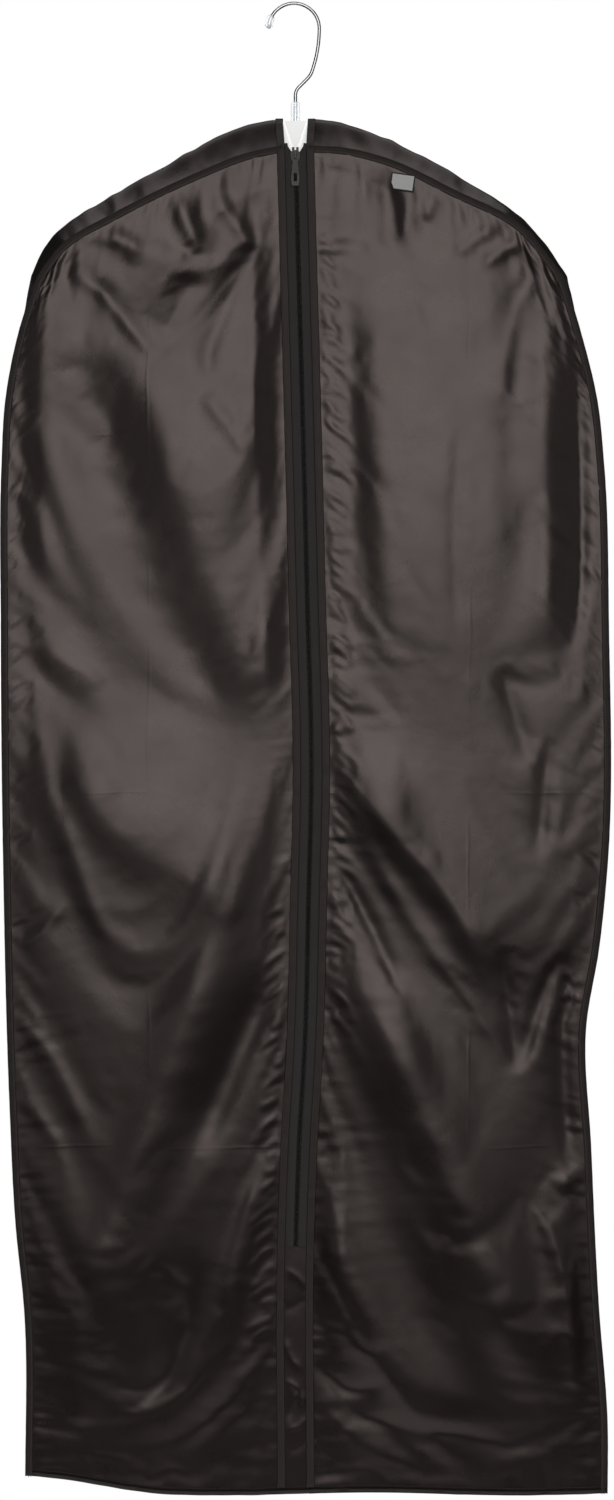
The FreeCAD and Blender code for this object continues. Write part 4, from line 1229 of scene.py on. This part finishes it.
for name, material in {
    "hook_wire": CHROME,
    "hook_retainer": CHROME,
    "hook_tip_cap": CLEAR,
    "swivel_collar": CLEAR,
    "hanger_body": WHITE,
    "zip_slider": ENAMEL,
    "zip_pull_tab": ENAMEL,
    "zip_top_stop_left": ENAMEL,
    "zip_top_stop_right": ENAMEL,
    "zip_bottom_stop": ENAMEL,
    "woven_label": label_material(),
}.items():
    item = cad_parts[name]
    item.data.materials.clear()
    item.data.materials.append(material)


# ---- studio

CAMERA_PLACE = (11.6, -3000, -745.0)
FLOOR_Z, FLOOR_RADIUS, FLOOR_SIDES = -2.1, 1.1, 96     # in metres


def make_camera():
    """A long view from the front at mid height."""
    data = bpy.data.cameras.new("camera")
    data.lens = 72
    data.sensor_width = 36
    data.clip_end = 50
    item = new_object("camera", data)
    item.location = Vector(CAMERA_PLACE) * MM
    item.rotation_euler = (math.radians(90), 0, 0)
    bpy.context.scene.camera = item


def area_light(name, place, target, width, height, power):
    """A soft box aimed at a point."""
    data = bpy.data.lights.new(name, "AREA")
    data.shape = "RECTANGLE"
    data.size, data.size_y = width, height
    data.energy = power
    item = new_object(name, data)
    item.location = place
    direction = Vector(target) - Vector(place)
    item.rotation_euler = direction.to_track_quat("-Z", "Y").to_euler()
    item.visible_camera = False


def make_floor():
    """A round pale floor under the hanging bag."""
    angles = np.linspace(0, 2 * math.pi, FLOOR_SIDES, endpoint=False)
    rim = np.stack([np.cos(angles), np.sin(angles), 0 * angles], axis=1) * FLOOR_RADIUS + (0, 0, FLOOR_Z)
    floor = mesh_object("floor", rim / MM, [tuple(range(FLOOR_SIDES))], smooth_shading=False)
    look = {"Base Color": (0.9, 0.9, 0.9, 1), "Roughness": 0.9, "Emission Color": (1, 1, 1, 1)}
    floor.data.materials.append(new_material("pale_floor", {**look, "Emission Strength": 0.3})[0])


def make_studio():
    """A broad soft light above the front, another behind, weak strips at the sides, and tall soft boxes at
    the four corners for the views from there."""
    make_floor()
    area_light("key", (0.1, -3.6, 0.2), (0, 0, -0.5), 2.2, 2.2, 34)
    area_light("low_key", (0.05, -3.6, -1.43), (0, 0, -1.25), 4.4, 0.85, 6.4)
    area_light("left_strip", (-2.6, -1.2, 0.2), (0, 0, -0.6), 0.5, 1.8, 1.6)
    area_light("right_strip", (2.6, -1.2, 0.2), (0, 0, -0.6), 0.5, 1.8, 1.6)
    area_light("top", (0, 0.3, 1.7), (0, 0, 0), 2.6, 1.4, 10)
    area_light("back_key", (-0.2, 3.6, 0.2), (0, 0, -0.5), 2.4, 2.2, 31)
    for x in (-3, 3):
        for y, power in ((-3, 3.2), (3, 9)):
            area_light(f"corner_{x}_{y}", (x, y, -0.8), (0, 0, -0.75), 1.6, 2.6, power)
    make_surround()
    bpy.context.scene.view_settings.view_transform = "Standard"


def make_surround():
    """A surround that is seen as white, but lights the object only weakly."""
    world = bpy.data.worlds.new("surround")
    bpy.context.scene.world = world
    world.use_nodes = True
    tree = world.node_tree
    background = tree.nodes["Background"]
    background.inputs["Color"].default_value = (1, 1, 1, 1)
    rays = new_node(tree, "LightPath", {}).outputs
    seen = combined("MAXIMUM", rays["Is Camera Ray"], rays["Is Transmission Ray"])
    tree.links.new(ranged(seen, 0, 1, 0.03, 1.0), background.inputs["Strength"])


make_camera()
make_studio()
